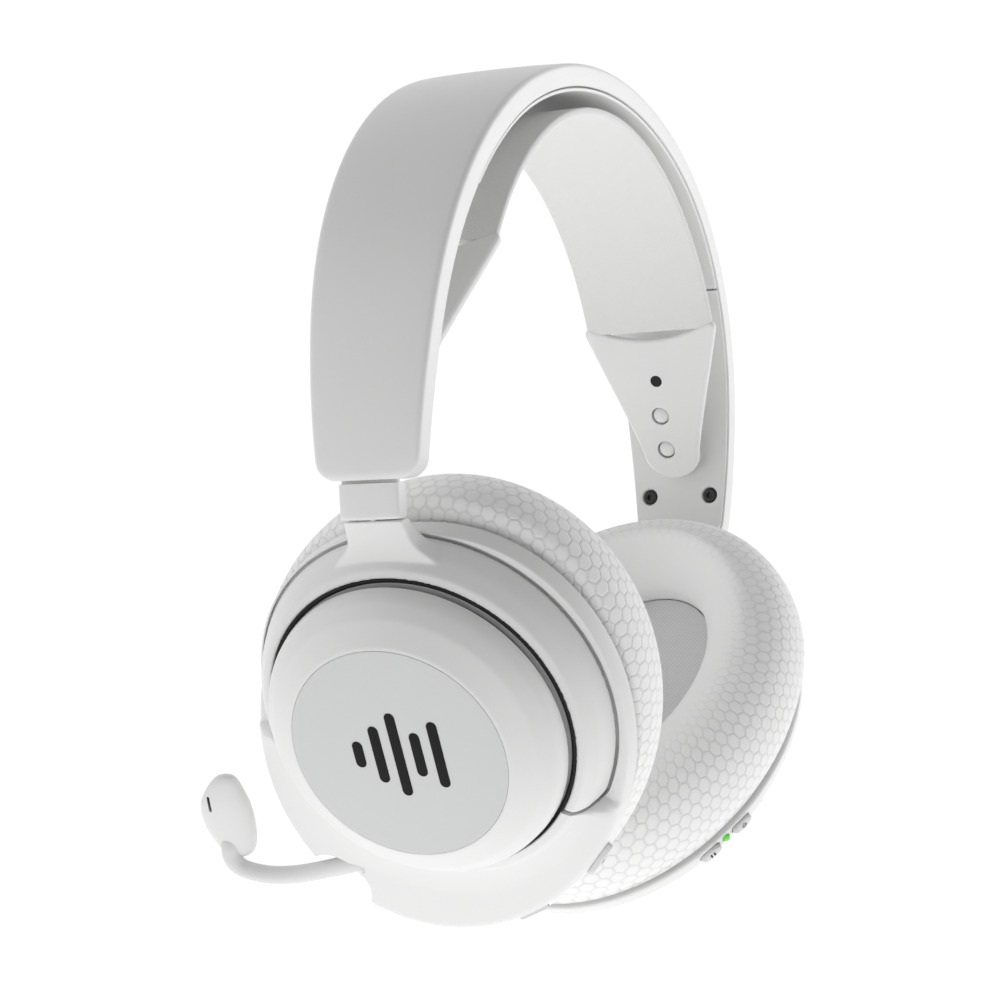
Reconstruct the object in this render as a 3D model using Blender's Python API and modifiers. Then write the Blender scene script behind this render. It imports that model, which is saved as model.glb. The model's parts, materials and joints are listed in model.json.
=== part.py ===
"""Wireless over-ear gaming headset: spring headband with a hung strap, curved
sliders, swivelling half-ring yokes, two tilting ear cups, a retractable
microphone and its buttons. Metres, +Z up, +X the wearer's left, -Y the front.
The origin is the middle of the strap's underside, where the head sits."""
from math import cos, hypot, pi, radians, sin

import bmesh
import bpy
from mathutils import Matrix, Vector

MM = 0.001
GAP = 0.3                   # running and assembly gap between neighbours, mm

# Headband: half an arch as (length, radius) arcs from the crown down, mm
ARCS = ((25.0, 105.0), (20.0, 100.0), (73.0, 77.0), (34.5, 120.0))
ARCH_LEN = sum(length for length, _ in ARCS)
CROWN_Z = 11.0              # cover's top above the origin
WIDTH_TOP, WIDTH_END, TAPER = 33.9, 22.3, 2.5
COVER_DEEP, COVER_SKIN, COVER_WALL = 5.4, 1.5, 1.5
LINER_END = 84.7            # the liner gives way to the arm covers here
SPRING_END = 104.0
# Sliders: a straight strip in the arm, a block under it, the seam to the yoke
STRIP_MID, STRIP_DEPTH, STRIP_LEN, STRIP_THICK = 136.6, 3.35, 33.0, 1.0
BLOCK_TOP, SEAM, BLOCK_HALF = 153.2, 160.4, 6.6
# Strap and its end plates
STRAP_MID, STRAP_THICK, STRAP_RADIUS, STRAP_HALF_ANGLE = 0.8, 1.6, 70.2, radians(61.0)
STRAP_WIDTH = 33.0
TAB_TOP, TAB_BOTTOM = (61.6, -35.8), (80.6, -72.4)
ANCHOR_TAB, ANCHOR_ARM = (18.0, 36.0), (111.0, 131.0)
TAB_THICK = 2.2
# Ear cups: centre of the outer disc, tilt from upright
CUP_CENTRE, CUP_TILT = (72.8, -142.0), radians(30.9)
DISC_R, PLATE_R = 23.4, 32.4
# Stem sections from the seam into the ring: outer r, h, inner r, h, half width, bend
STEM = ((45.7, -12.2, 44.3, -16.0, 6.6, 0.0), (43.4, -12.5, 42.4, -16.9, 6.8, 0.0),
        (41.2, -12.8, 40.6, -17.8, 7.8, 0.3), (39.2, -13.1, 38.9, -18.6, 10.0, 0.7),
        (36.0, -13.5, 37.4, -18.3, 13.5, 1.0))
YOKE_ENDS = (radians(-36.0), radians(188.0))
RIM = dict(a=41.0, b=49.4, cx=-1.6, cy=-8.0, tilt=radians(29.0))
HOLE = dict(a=19.5, b=28.0, cx=-2.3, cy=-0.5, tilt=radians(29.0))
RIM_H = -24.0
CUSHION_H = -47.0
BOOM_R = 2.0
PIVOT_FRONT, PIVOT_REAR, PIVOT_H = (-35.6, 1.2), (32.5, -14.5), -16.4

SATIN, PALE, DISC, DARK = (0.80, 0.80, 0.79), (0.62, 0.62, 0.61), (0.60, 0.60, 0.59), (0.03, 0.03, 0.03)
STEEL, COPPER, GREEN = (0.55, 0.56, 0.57), (0.05, 0.22, 0.10), (0.1, 0.9, 0.15)
CLOTH, GREY_CLOTH = (0.66, 0.66, 0.65), (0.35, 0.35, 0.36)


def collection(name):
    """A new collection in the scene."""
    made = bpy.data.collections.new(name)
    bpy.context.scene.collection.children.link(made)
    return made


def material(name, colour, rough=0.45, metal=0.0):
    """A Principled material, made once."""
    mat = bpy.data.materials.get(name)
    if mat is None:
        mat = bpy.data.materials.new(name)
        mat.use_nodes = True
        shader = mat.node_tree.nodes["Principled BSDF"]
        shader.inputs["Base Color"].default_value = (*colour, 1.0)
        shader.inputs["Roughness"].default_value = rough
        shader.inputs["Metallic"].default_value = metal
    return mat


def place(name, mesh, matrix, look):
    """Link a mesh (built in mm) as a named object at a matrix (in metres)."""
    mesh.transform(Matrix.Scale(MM, 4))
    mesh.shade_smooth()
    mesh.set_sharp_from_angle(angle=radians(35.0))
    obj = bpy.data.objects.new(name, mesh)
    obj.matrix_world = matrix
    obj.data.materials.append(look)
    PARTS.objects.link(obj)
    return obj


def to_mesh(name, bm):
    """Close a bmesh off as a mesh with its faces pointing out."""
    bmesh.ops.recalc_face_normals(bm, faces=bm.faces)
    mesh = bpy.data.meshes.new(name)
    bm.to_mesh(mesh)
    bm.free()
    return mesh


def loft(name, rings, matrix, look, looped=False):
    """A skin through rings of points; looped joins the last ring to the first."""
    bm = bmesh.new()
    rows = [[bm.verts.new(p) for p in ring] for ring in rings]
    count = len(rows[0])
    pairs = list(zip(rows, rows[1:])) + ([(rows[-1], rows[0])] if looped else [])
    for low, high in pairs:
        for i in range(count):
            j = (i + 1) % count
            bm.faces.new((low[i], low[j], high[j], high[i]))
    if not looped:
        bm.faces.new(rows[0])
        bm.faces.new(rows[-1])
    return place(name, to_mesh(name, bm), matrix, look)


def turned(name, profile, matrix, look, steps=32):
    """A solid turned about local Z from (radius, height) points, top to bottom."""
    bm = bmesh.new()
    verts = [bm.verts.new((r, 0.0, h)) for r, h in profile]
    for a, b in zip(verts, verts[1:]):
        bm.edges.new((a, b))
    mesh = bpy.data.meshes.new(name)
    bm.to_mesh(mesh)
    bm.free()
    obj = place(name, mesh, matrix, look)
    screw = obj.modifiers.new("Turn", "SCREW")
    screw.steps = screw.render_steps = steps
    screw.use_merge_vertices = True
    screw.merge_threshold = 0.00001
    return obj


def cylinder(name, radius, length, matrix, look, sides=20):
    """A cylinder centred on a matrix, along its Z."""
    bm = bmesh.new()
    bmesh.ops.create_cone(bm, cap_ends=True, segments=sides, radius1=radius, radius2=radius, depth=length)
    return place(name, to_mesh(name, bm), matrix, look)


def box(name, size, matrix, look, bevel=0.0):
    """A box centred on a matrix, with its edges rounded."""
    bm = bmesh.new()
    bmesh.ops.create_cube(bm, size=1.0)
    bmesh.ops.scale(bm, vec=size, verts=bm.verts)
    obj = place(name, to_mesh(name, bm), matrix, look)
    if bevel:
        soft = obj.modifiers.new("Round", "BEVEL")
        soft.width, soft.segments = bevel * MM, 2
    return obj


def combine(obj, tool, operation="DIFFERENCE"):
    """Cut or join a solid with a tool that moves to the cutters."""
    if tool.name in PARTS.objects:
        PARTS.objects.unlink(tool)
        CUTTERS.objects.link(tool)
    tool.hide_render = True
    tool.display_type = "WIRE"
    change = obj.modifiers.new(tool.name, "BOOLEAN")
    change.operation, change.object, change.solver = operation, tool, "EXACT"


def frame_at(x, y, z, out, along):
    """A matrix at a point in mm, local Z along out and local X near along."""
    z_axis = Vector(out).normalized()
    y_axis = z_axis.cross(Vector(along)).normalized()
    x_axis = y_axis.cross(z_axis)
    turn = Matrix((x_axis, y_axis, z_axis)).transposed().to_4x4()
    return Matrix.Translation(Vector((x, y, z)) * MM) @ turn


def arch(s, depth=0.0):
    """Point (x, z) in mm a depth under the cover's top, s along it, and its slope."""
    side = -1.0 if s < 0 else 1.0
    left, x, z, turn = abs(s), 0.0, CROWN_Z, 0.0
    for index, (length, radius) in enumerate(ARCS):
        step = left if index == len(ARCS) - 1 else min(left, length)
        x += radius * (sin(turn + step / radius) - sin(turn))
        z += radius * (cos(turn + step / radius) - cos(turn))
        turn += step / radius
        left -= step
        if left <= 0.0:
            break
    return side * (x - depth * sin(turn)), z - depth * cos(turn), side * turn


def arch_ring(s, outline):
    """Points of a (y, depth) outline on the arch at s."""
    ring = []
    for y, depth in outline:
        x, z, _ = arch(s, depth)
        ring.append(Vector((x, y, z)))
    return ring


def cover_half_width(s):
    """Half the cover's width at s: it narrows towards the ends."""
    return (WIDTH_END + (WIDTH_TOP - WIDTH_END) * (1.0 - min(abs(s) / ARCH_LEN, 1.0) ** TAPER)) / 2.0


def slab(name, s0, s1, steps, half, top, bottom, look):
    """A strip on the arch from s0 to s1, between two depths."""
    rings = []
    for i in range(steps + 1):
        s = s0 + (s1 - s0) * i / steps
        w = half(s)
        rings.append(arch_ring(s, ((-w, top), (w, top), (w, bottom), (-w, bottom))))
    return loft(name, rings, Matrix.Identity(4), look)


def headband():
    """Crowned channel cover, the spring strip in it and the liner under it."""
    rings = []
    for i in range(41):
        s = ARCH_LEN * (i / 20.0 - 1.0)
        w = cover_half_width(s)
        v = w - COVER_WALL
        rings.append(arch_ring(s, (
            (-w, 1.9), (-w + 0.8, 0.8), (-w * 0.5, 0.2), (0.0, 0.0), (w * 0.5, 0.2), (w - 0.8, 0.8), (w,
                    1.9),
            (w, COVER_DEEP), (v, COVER_DEEP), (v, COVER_SKIN + 0.5), (v - 0.6, COVER_SKIN),
            (-v + 0.6, COVER_SKIN), (-v, COVER_SKIN + 0.5), (-v, COVER_DEEP), (-w, COVER_DEEP))))
    loft("headband_cover", rings, Matrix.Identity(4), material("satin_shell", SATIN))
    slab("headband_spring", -SPRING_END, SPRING_END, 20, lambda s: 9.0, 2.1, 2.9,
         material("spring_steel", STEEL, 0.3, 1.0))
    slab("headband_liner", -LINER_END, LINER_END, 20,
         lambda s: cover_half_width(s) - COVER_WALL - GAP, 3.4, 5.0, material("satin_liner", PALE))


def on_arm(s, y, depth):
    """A frame on the left arm, Z pointing inwards across it and X down it."""
    x, z, turn = arch(s, depth)
    return frame_at(x, y, z, (-sin(turn), 0.0, -cos(turn)), (cos(turn), 0.0, -sin(turn)))


def tab_frame(along, y=0.0, out=0.0):
    """A frame on the left strap plate: X down it, Z away from the head."""
    run = Vector((TAB_BOTTOM[0] - TAB_TOP[0], TAB_BOTTOM[1] - TAB_TOP[1])).normalized()
    x = TAB_TOP[0] + run.x * along - run.y * out
    z = TAB_TOP[1] + run.y * along + run.x * out
    return frame_at(x, y, z, (-run.y, 0.0, run.x), (run.x, 0.0, run.y))


def outline_plate(name, points, thick, matrix, look):
    """A flat outline in the XY plane, given a thickness about it."""
    bm = bmesh.new()
    low = [bm.verts.new((x, y, -thick / 2.0)) for x, y in points]
    face = bm.faces.new(low)
    grown = bmesh.ops.extrude_face_region(bm, geom=[face])
    top = [v for v in grown["geom"] if isinstance(v, bmesh.types.BMVert)]
    bmesh.ops.translate(bm, vec=(0.0, 0.0, thick), verts=top)
    return place(name, to_mesh(name, bm), matrix, look)


def arm():
    """Left arm: inner cover, its screws, the strap plate, pegs and anchor block."""
    cover = slab("arm_cover_left", LINER_END + 0.6, ARCH_LEN - 1.0, 9,
                 lambda s: cover_half_width(s) - COVER_WALL - GAP, 4.1, 5.4, material("satin_arm", SATIN))
    for tag, y in (("front", -8.2), ("rear", 8.2)):
        combine(cover, cylinder("screw_hole_" + tag, 1.7, 8.0, on_arm(141.0, y, 4.8),
                                material("hole", DARK)))
        cylinder("arm_screw_%s_left" % tag, 1.35, 2.2, on_arm(141.0, y, 4.2),
                 material("black_screw", DARK, 0.4, 0.6), 12)
    length = hypot(TAB_BOTTOM[0] - TAB_TOP[0], TAB_BOTTOM[1] - TAB_TOP[1])
    half = [(0.0, 17.2), (6.0, 16.6), (20.0, 10.6), (29.0, 8.3), (length - 7.0, 7.4)]
    round_end = [(length - 7.0 + 7.0 * sin(a), 7.4 * cos(a)) for a in (radians(30), radians(60))]
    outline = half + round_end + [(length, 0.0)]
    outline += [(x, -y) for x, y in reversed(half + round_end)]
    tab = outline_plate("strap_tab_left", outline, TAB_THICK, tab_frame(0.0), material("satin_tab", SATIN))
    combine(tab, cylinder("tab_hole", 1.5, 8.0, tab_frame(15.1, -0.4), material("hole", DARK)))
    block = anchor()
    for tag, along in (("upper", 24.4), ("lower", 33.4)):
        hole = cylinder("peg_hole_" + tag, 2.4, 9.0, tab_frame(along, -1.0, 1.2), material("hole", DARK))
        combine(tab, hole)
        combine(block, hole)
        cylinder("strap_peg_%s_left" % tag, 2.1, 3.4, tab_frame(along, -1.0, 0.5),
                 material("satin_peg", SATIN), 16)


def anchor():
    """Wedge between the strap plate and the arm cover that the pegs snap into."""
    rings = []
    for i in range(7):
        share = i / 6.0
        along = ANCHOR_TAB[0] + (ANCHOR_TAB[1] - ANCHOR_TAB[0]) * share
        near = tab_frame(along, 0.0, TAB_THICK / 2.0 + GAP).translation / MM
        x, z, _ = arch(ANCHOR_ARM[0] + (ANCHOR_ARM[1] - ANCHOR_ARM[0]) * share, 5.4 + GAP)
        rings.append([Vector(p) for p in ((near.x, -5.0, near.z), (near.x, 5.0, near.z), (x, 5.0, z),
                                          (x, -5.0, z))])
    return loft("anchor_block_left", rings, Matrix.Identity(4), material("satin_block", SATIN))


def strap():
    """Hung strap: a thin band on an arc of its own under the headband."""
    rings = []
    for i in range(25):
        turn = STRAP_HALF_ANGLE * (i / 12.0 - 1.0)
        half = STRAP_WIDTH / 2.0
        ring = []
        for y, lift in ((-half, STRAP_THICK / 2), (half, STRAP_THICK / 2), (half, -STRAP_THICK / 2),
                        (-half, -STRAP_THICK / 2)):
            r = STRAP_RADIUS + lift
            ring.append(Vector((r * sin(turn), y, STRAP_MID - STRAP_RADIUS + r * cos(turn))))
        rings.append(ring)
    loft("strap", rings, Matrix.Identity(4), material("strap_weave", CLOTH, 0.9))


def cup_frame():
    """Left cup: Z out through the disc, Y up the cup, X to the rear."""
    return frame_at(CUP_CENTRE[0], 0.0, CUP_CENTRE[1], (cos(CUP_TILT), 0.0, -sin(CUP_TILT)),
                    (0.0, 1.0, 0.0))


def in_cup(x, y, h, out=(0.0, 0.0, 1.0), along=(1.0, 0.0, 0.0)):
    """A frame in the left cup's own axes."""
    return cup_frame() @ frame_at(x, y, h, out, along)


def pivot(tag, out):
    """A frame on the line through both pivots, Z along it out of the cup."""
    front, rear = Vector((*PIVOT_FRONT, PIVOT_H)), Vector((*PIVOT_REAR, PIVOT_H))
    axis = (rear - front).normalized() * (1.0 if tag == "rear" else -1.0)
    end = (rear if tag == "rear" else front) + axis * out
    return in_cup(*end, axis, (0.0, 0.0, 1.0))


def oval(angle, a, b, cx, cy, tilt):
    """Distance from the disc's axis to an off-centre tilted ellipse, mm."""
    dx, dy = cos(angle), sin(angle)
    u = (cos(tilt), -sin(tilt))
    v = (sin(tilt), cos(tilt))
    pu, pv = (dx * u[0] + dy * u[1]) / a, (dx * v[0] + dy * v[1]) / b
    qu, qv = (-cx * u[0] - cy * u[1]) / a, (-cx * v[0] - cy * v[1]) / b
    lead, half, rest = pu * pu + pv * pv, pu * qu + pv * qv, qu * qu + qv * qv - 1.0
    return (-half + (half * half - lead * rest) ** 0.5) / lead


def rim(angle, grow=0.0):
    """Radius of the cup's oval rim, grown outwards by some mm."""
    return oval(angle, RIM["a"] + grow, RIM["b"] + grow, RIM["cx"], RIM["cy"], RIM["tilt"])


def polar(angle, pairs):
    """Points at an angle in the cup from (radius, height) pairs."""
    return [Vector((r * cos(angle), r * sin(angle), h)) for r, h in pairs]


def cup_angles(count):
    """Even angles round the cup with a close pair at each end of the yoke's seat."""
    start, end = YOKE_ENDS[0] - radians(1.2), YOKE_ENDS[1] + radians(1.2)
    seat = [(start + (end - start) * i / (count - 1), True) for i in range(count)]
    rest = 2 * pi - (end - start)
    free = [(end + radians(0.8) + (rest - radians(1.6)) * i / (count // 2),
             False) for i in range(count // 2 + 1)]
    return seat + free


def housing():
    """Left housing ring: plate seat, seat for the yoke, and the oval rim."""
    rings = []
    for angle, seated in cup_angles(28):
        r = rim(angle)
        if seated:
            outer = [(30.6, -12.4), (32.6, -12.4), (32.9, -14.6), (34.6, -17.2), (36.0, -21.3),
                     (max(36.4, r - 1.3), -21.9), (max(36.9, r), RIM_H + 0.2)]
            inner = [(max(34.9, r - 2.0), RIM_H - 0.2), (max(33.6, r - 3.4), -23.2), (33.0, -21.6),
                     (32.2, -17.6), (30.6, -14.4)]
        else:
            outer = [(30.6, -12.4), (33.3, -12.4), (33.4, -11.2), (35.2, -11.9), (37.2, -14.8),
                     (max(38.2, r - 0.9), -18.9), (max(39.2, r + 0.3), RIM_H - 0.2)]
            inner = [(max(36.4, r - 2.0), RIM_H - 0.2), (max(35.0, r - 3.4), -22.8), (35.4, -18.2),
                     (33.2, -14.8), (30.6, -14.4)]
        rings.append(polar(angle, outer + inner))
    body = loft("cup_housing_left", rings, cup_frame(), material("satin_shell", SATIN), looped=True)
    for tag in ("front", "rear"):
        combine(body, cylinder("pivot_bore_" + tag, 2.2, 10.0, pivot(tag, -5.0), material("hole", DARK)))
    return body


def yoke():
    """Half ring round the cup with its stem, bored for the pins."""
    rings = []
    steps = 28
    section = ((34.0, -11.4), (35.3, -11.9), (37.5, -15.5), (38.9, -20.0), (36.9, -20.4), (35.6, -16.5),
               (34.0, -13.2))
    for i in range(steps + 1):
        angle = YOKE_ENDS[0] + (YOKE_ENDS[1] - YOKE_ENDS[0]) * i / steps
        rings.append(polar(angle, section))
    body = loft("yoke_left", rings, cup_frame(), material("satin_shell", SATIN))
    stem = []
    for r_out, h_out, r_in, h_in, half, bend in STEM:
        row = [(-half, 0.3)] + [(half * k / 3 * 0.88, 0.0) for k in range(-3, 4)] + [(half, 0.3)]
        edge = [(x, r_out - low, h_out - 2.6 * low) for x, low in row] + [(x, r_in, h_in) for x,
                _ in reversed(row)]
        stem.append([Vector((x, r - bend * (r - (r * r - x * x) ** 0.5), h)) for x, r, h in edge])
    combine(body, loft("yoke_stem", stem, cup_frame(), material("satin_shell", SATIN)), "UNION")
    combine(body, cylinder("stem_bore", 1.35, 9.0, seam_frame(), material("hole", DARK), 16))
    for tag in ("front", "rear"):
        combine(body, cylinder("yoke_bore_" + tag, 1.9, 10.0, pivot(tag, -4.6), material("hole", DARK)))
        cylinder("pivot_pin_%s_left" % tag, 1.6, 6.0, pivot(tag, -3.0),
                 material("pin_steel", STEEL, 0.3, 1.0))
    return body


def slider():
    """Left slider: a straight strip in the arm with a block at its foot."""
    strip = box("slider_left", (STRIP_LEN, 12.6, STRIP_THICK), on_arm(STRIP_MID, 0.0, STRIP_DEPTH),
                material("slider_body", SATIN))
    w = BLOCK_HALF
    rings = []
    for i in range(4):
        s = BLOCK_TOP + (SEAM - BLOCK_TOP) * i / 3
        rings.append(arch_ring(s, ((-w, 1.7), (-w + 0.8, 0.9), (w - 0.8, 0.9), (w, 1.7), (w, 4.9),
                                   (-w, 4.9))))
    combine(strip, loft("slider_block", rings, Matrix.Identity(4), material("slider_body", SATIN)), "UNION")
    combine(strip, cylinder("swivel_bore", 1.35, 9.0, seam_frame(), material("hole", DARK), 16))
    return strip


def seam_frame():
    """Middle of the seam between slider and stem, Z down the stem."""
    x, z, turn = arch(SEAM + 0.2, 2.9)
    return frame_at(x, 0.0, z, (cos(turn), 0.0, -sin(turn)), (0.0, 1.0, 0.0))


def plate():
    """Left speaker plate, the flat disc in it, and the driver behind them."""
    turned("speaker_plate_left", (
        (0.0, -1.5), (DISC_R + 0.2, -1.5), (DISC_R + 0.2, -0.15), (24.4, -0.25), (29.4, -3.0), (31.4, -5.2),
        (PLATE_R, -8.8), (PLATE_R, -9.9), (30.2, -9.9), (30.2, -8.8), (28.2, -5.6), (23.0, -3.4), (0.0,
                -3.4)),
        cup_frame(), material("satin_shell", SATIN), 32)
    turned("plate_disc_left", ((0.0, 0.0), (DISC_R - 0.3, 0.0), (DISC_R, -0.25), (DISC_R, -1.2),
                               (0.0, -1.2)),
           cup_frame(), material("matte_disc", DISC, 0.7), 32)


def oval_ring(name, section, matrix, look, steps=32):
    """A ring round the cup whose (share, height) section is set per angle."""
    return loft(name, [polar(2 * pi * i / steps, section(2 * pi * i / steps)) for i in range(steps)],
                matrix, look, looped=True)


def ear_hole(angle, grow=0.0):
    """Radius of the ear's opening in the cushion."""
    return oval(angle, HOLE["a"] + grow, HOLE["b"] + grow, HOLE["cx"], HOLE["cy"], HOLE["tilt"])


def cushion_section(angle):
    """Plump section of the ear cushion at an angle; it bulges most at the top."""
    out, hole, deep = rim(angle) + 3.0 + 2.0 * sin(angle) - 0.6 * cos(angle), ear_hole(angle), CUSHION_H
    crown = hole + 0.52 * (out - hole)
    return [(hole + 3.0, -25.3), (rim(angle) - 2.0, -25.3), (out - 1.0, -27.0), (out, -31.0),
            (out - 0.2, -37.0),
            (out - 2.0, -42.0), (out - 5.6, deep + 1.4), (crown, deep), (hole + 5.0, -41.5),
            (hole + 1.0, -36.0), (hole, -32.6), (hole + 0.8, -26.4)]


def speaker():
    """Left baffle with its driver, the grey cloth over it, and the cushion."""
    at = cup_frame()
    oval_ring("baffle_left", lambda t: [
        (rim(t, -4.8), -23.6), (rim(t, -4.8), -24.9), (oval(t, 19.0, 19.0, -2.0, -3.0, 0.0), -24.9),
        (oval(t, 19.0, 19.0, -2.0, -3.0, 0.0), -23.6)], at, material("baffle_body", DARK, 0.6))
    turned("driver_left", ((0.0, -15.6), (9.0, -15.6), (9.0, -18.4), (17.9, -21.4), (18.6, -22.0),
                           (18.6, -25.8),
                           (17.0, -26.7), (0.0, -26.7)), in_cup(-2.0, -3.0,
                                   0.0), material("driver_body", STEEL, 0.4, 0.8), 24)
    pad = [Vector((ear_hole(2 * pi * i / 32, -0.6) * cos(2 * pi * i / 32),
                   ear_hole(2 * pi * i / 32, -0.6) * sin(2 * pi * i / 32))) for i in range(32)]
    outline_plate("driver_cloth_left", [(p.x, p.y) for p in pad], 0.8, in_cup(0.0, 0.0, -29.4),
                  material("driver_cloth", GREY_CLOTH, 0.95))
    oval_ring("ear_cushion_left", cushion_section, at, material("mesh_fabric", CLOTH, 0.95))


def rounded_rect(w, h, r, count=4):
    """Outline of a rounded rectangle, mm."""
    points = []
    for cx, cy, start in ((w / 2 - r, h / 2 - r, 0.0), (-w / 2 + r, h / 2 - r, pi / 2),
                          (-w / 2 + r, -h / 2 + r, pi), (w / 2 - r, -h / 2 + r, 1.5 * pi)):
        points += [(cx + r * cos(start + pi / 2 * k / count), cy + r * sin(start + pi / 2 * k / count))
                   for k in range(count + 1)]
    return points


def wall_frame(angle, h, grow=0.15):
    """A frame on the housing's side wall, Z square out of it and X round the cup."""
    near, here, far = (Vector(((rim(a) + grow) * cos(a),
                               (rim(a) + grow) * sin(a))) for a in (angle - 0.02, angle, angle + 0.02))
    run = (far - near).normalized()
    return in_cup(here.x, here.y, h, (run.y, -run.x, 0.0), (run.x, run.y, 0.0))


def microphone(body):
    """Gland, boom and capsule at the housing's lower front, and their notch."""
    notch = in_cup(-33.5, -43.5, -20.5)
    combine(body, cylinder("mic_notch", 7.8, 14.0, notch, material("hole", DARK), 24))
    route = [Vector(p) for p in ((-14.0, -35.2, -20.0), (-24.8, -37.9, -20.0), (-33.1, -40.0, -20.0),
                                 (-43.6, -42.2, -20.0), (-51.2, -42.6, -20.0), (-57.0, -40.8, -20.0),
                                 (-59.9, -36.8, -20.0), (-60.0, -33.6, -20.0))]
    curve = bpy.data.curves.new("mic_boom_left", "CURVE")
    curve.dimensions, curve.bevel_depth, curve.bevel_resolution = "3D", BOOM_R * MM, 2
    curve.use_fill_caps = True
    line = smooth_line(route, 3)
    spline = curve.splines.new("POLY")
    spline.points.add(len(line) - 1)
    for point, co in zip(spline.points, line):
        point.co = (*(co * MM), 1.0)
    boom = bpy.data.objects.new("mic_boom", curve)
    boom.matrix_world = cup_frame()
    curve.materials.append(material("boom_rubber", SATIN, 0.6))
    PARTS.objects.link(boom)
    rings = []
    for along, wide, thick in ((0.0, 2.6, 2.4), (2.0, 4.2, 3.0), (6.0, 6.1, 3.3), (12.0, 6.2, 3.3),
                               (15.4, 4.6, 2.8), (16.6, 2.6, 2.0)):
        rings.append([Vector((x, -32.9 + along, -20.0 + z)) for x, z in
                      ((-60.0 + along * 0.06 + wide * cos(t),
                        thick * sin(t)) for t in [2 * pi * k / 16 for k in range(16)])])
    loft("mic_capsule", rings, cup_frame(), material("mic_shell", SATIN))
    axis = Vector((-8.3, -2.1, 0.0)).normalized()
    gland = frame_at(-24.4, -37.8, -20.0, axis, (0.0, 0.0, 1.0))
    ring = turned("mic_gland", ((BOOM_R + 0.3, 1.2), (3.0, 1.2), (3.2, 0.8), (3.2, -0.8),
                                (BOOM_R + 0.3, -0.8),
                                (BOOM_R + 0.3, 1.2)), cup_frame() @ gland, material("gland_rubber",
                                        PALE, 0.8), 20)
    combine(body, cylinder("gland_bore", 3.5, 24.0, in_cup(-19.5, -36.5, -20.0, axis, (0.0, 0.0, 1.0)),
                           material("hole", DARK)))
    return ring


def smooth_line(points, per):
    """Catmull-Rom points through the given ones."""
    line = []
    padded = [2 * points[0] - points[1]] + points + [2 * points[-1] - points[-2]]
    for a, b, c, d in zip(padded, padded[1:], padded[2:], padded[3:]):
        for k in range(per):
            t = k / per
            line.append(0.5 * ((2 * b) + (c - a) * t + (2 * a - 5 * b + 4 * c - d) * t * t
                               + (3 * b - a - 3 * c + d) * t ** 3))
    return line + [points[-1]]


def button(name, body, frame, size, travel, look):
    """A rounded key in a pocket, standing half a millimetre proud."""
    w, h = size
    pocket = outline_plate(name + "_pocket", rounded_rect(w + 0.7, h + 0.7, h / 2 + 0.3), 2 * travel + 3.0,
                           frame, material("hole", DARK))
    combine(body, pocket)
    return outline_plate(name, rounded_rect(w, h, h / 2 - 0.01), 1.6,
                         frame @ Matrix.Translation((0, 0, -0.0002)), look)


def mirror(obj, name):
    """The other side's copy of a left piece, with its own mesh."""
    bpy.context.view_layer.update()
    done = obj.evaluated_get(bpy.context.evaluated_depsgraph_get())
    mesh = bpy.data.meshes.new_from_object(done)
    home = obj.matrix_world.translation.copy()
    home.x = -home.x
    mesh.transform(Matrix.Translation(-home) @ Matrix.Scale(-1.0, 4, (1.0, 0.0, 0.0)) @ obj.matrix_world)
    mesh.flip_normals()
    twin = bpy.data.objects.new(name, mesh)
    twin.matrix_world = Matrix.Translation(home)
    PARTS.objects.link(twin)
    return twin


def main():
    headband()
    strap()
    arm()
    slider()
    yoke()
    body = housing()
    plate()
    speaker()
    cylinder("swivel_pin_left", 1.05, 8.0, seam_frame(), material("pin_steel", STEEL, 0.3, 1.0), 12)
    for obj in [o for o in PARTS.objects if o.name.endswith("_left")]:
        mirror(obj, obj.name[:-5] + "_right")
    left_extras(body)
    right_extras(bpy.data.objects["cup_housing_right"])


def left_extras(body):
    """Microphone, mute key, charging port and board of the left cup."""
    microphone(body)
    button("mute_button", body, wall_frame(radians(-54.0), -21.9), (9.4, 2.6), 0.9,
           material("key_left", PALE))
    port = wall_frame(radians(-79.0), -21.8)
    combine(body, outline_plate("port_cut", rounded_rect(9.0, 3.2, 1.55), 10.0, port,
                                material("hole", DARK)))
    shell = outline_plate("usb_port", rounded_rect(8.4, 2.6, 1.25), 3.4,
                          port @ Matrix.Translation((0, 0, -0.0018)),
                          material("port_metal", STEEL, 0.3, 1.0))
    combine(shell, outline_plate("port_mouth", rounded_rect(7.6, 1.8, 0.85), 4.4,
                                 port @ Matrix.Translation((0, 0, 0.0008)), material("hole", DARK)))
    box("circuit_board", (26.0, 18.0, 1.2), in_cup(0.0, 4.0, -12.6), material("board", COPPER))


def right_extras(body):
    """Battery, power and link keys and the light of the right cup."""
    flip = Matrix.Scale(-1.0, 4, (1.0, 0.0, 0.0))
    for name, angle in (("power_button", -44.0), ("link_button", -56.0)):
        button(name, body, unflip(flip @ wall_frame(radians(angle), -21.9)), (5.6, 2.6), 0.9,
               material("key_right", PALE))
    spot = unflip(flip @ wall_frame(radians(-50.0), -21.9))
    combine(body, cylinder("light_hole", 1.15, 6.0, spot, material("hole", DARK), 12))
    cylinder("status_led", 0.85, 2.2, spot @ Matrix.Translation((0, 0, -0.0009)),
             material("light", GREEN), 12)
    box("battery", (24.0, 18.0, 4.6), unflip(flip @ in_cup(0.0, 0.0, -9.0)),
        material("cell", STEEL, 0.5, 0.2))


def unflip(matrix):
    """A right-handed frame with the same Z and X after a mirroring."""
    turn = matrix.to_3x3()
    z, x = turn.col[2].normalized(), turn.col[0].normalized()
    square = Matrix((x, z.cross(x), z)).transposed().to_4x4()
    return Matrix.Translation(matrix.translation) @ square


for old in list(bpy.data.objects):
    bpy.data.objects.remove(old, do_unlink=True)
PARTS = collection("gaming_headset")
CUTTERS = collection("cutters")
main()
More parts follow.
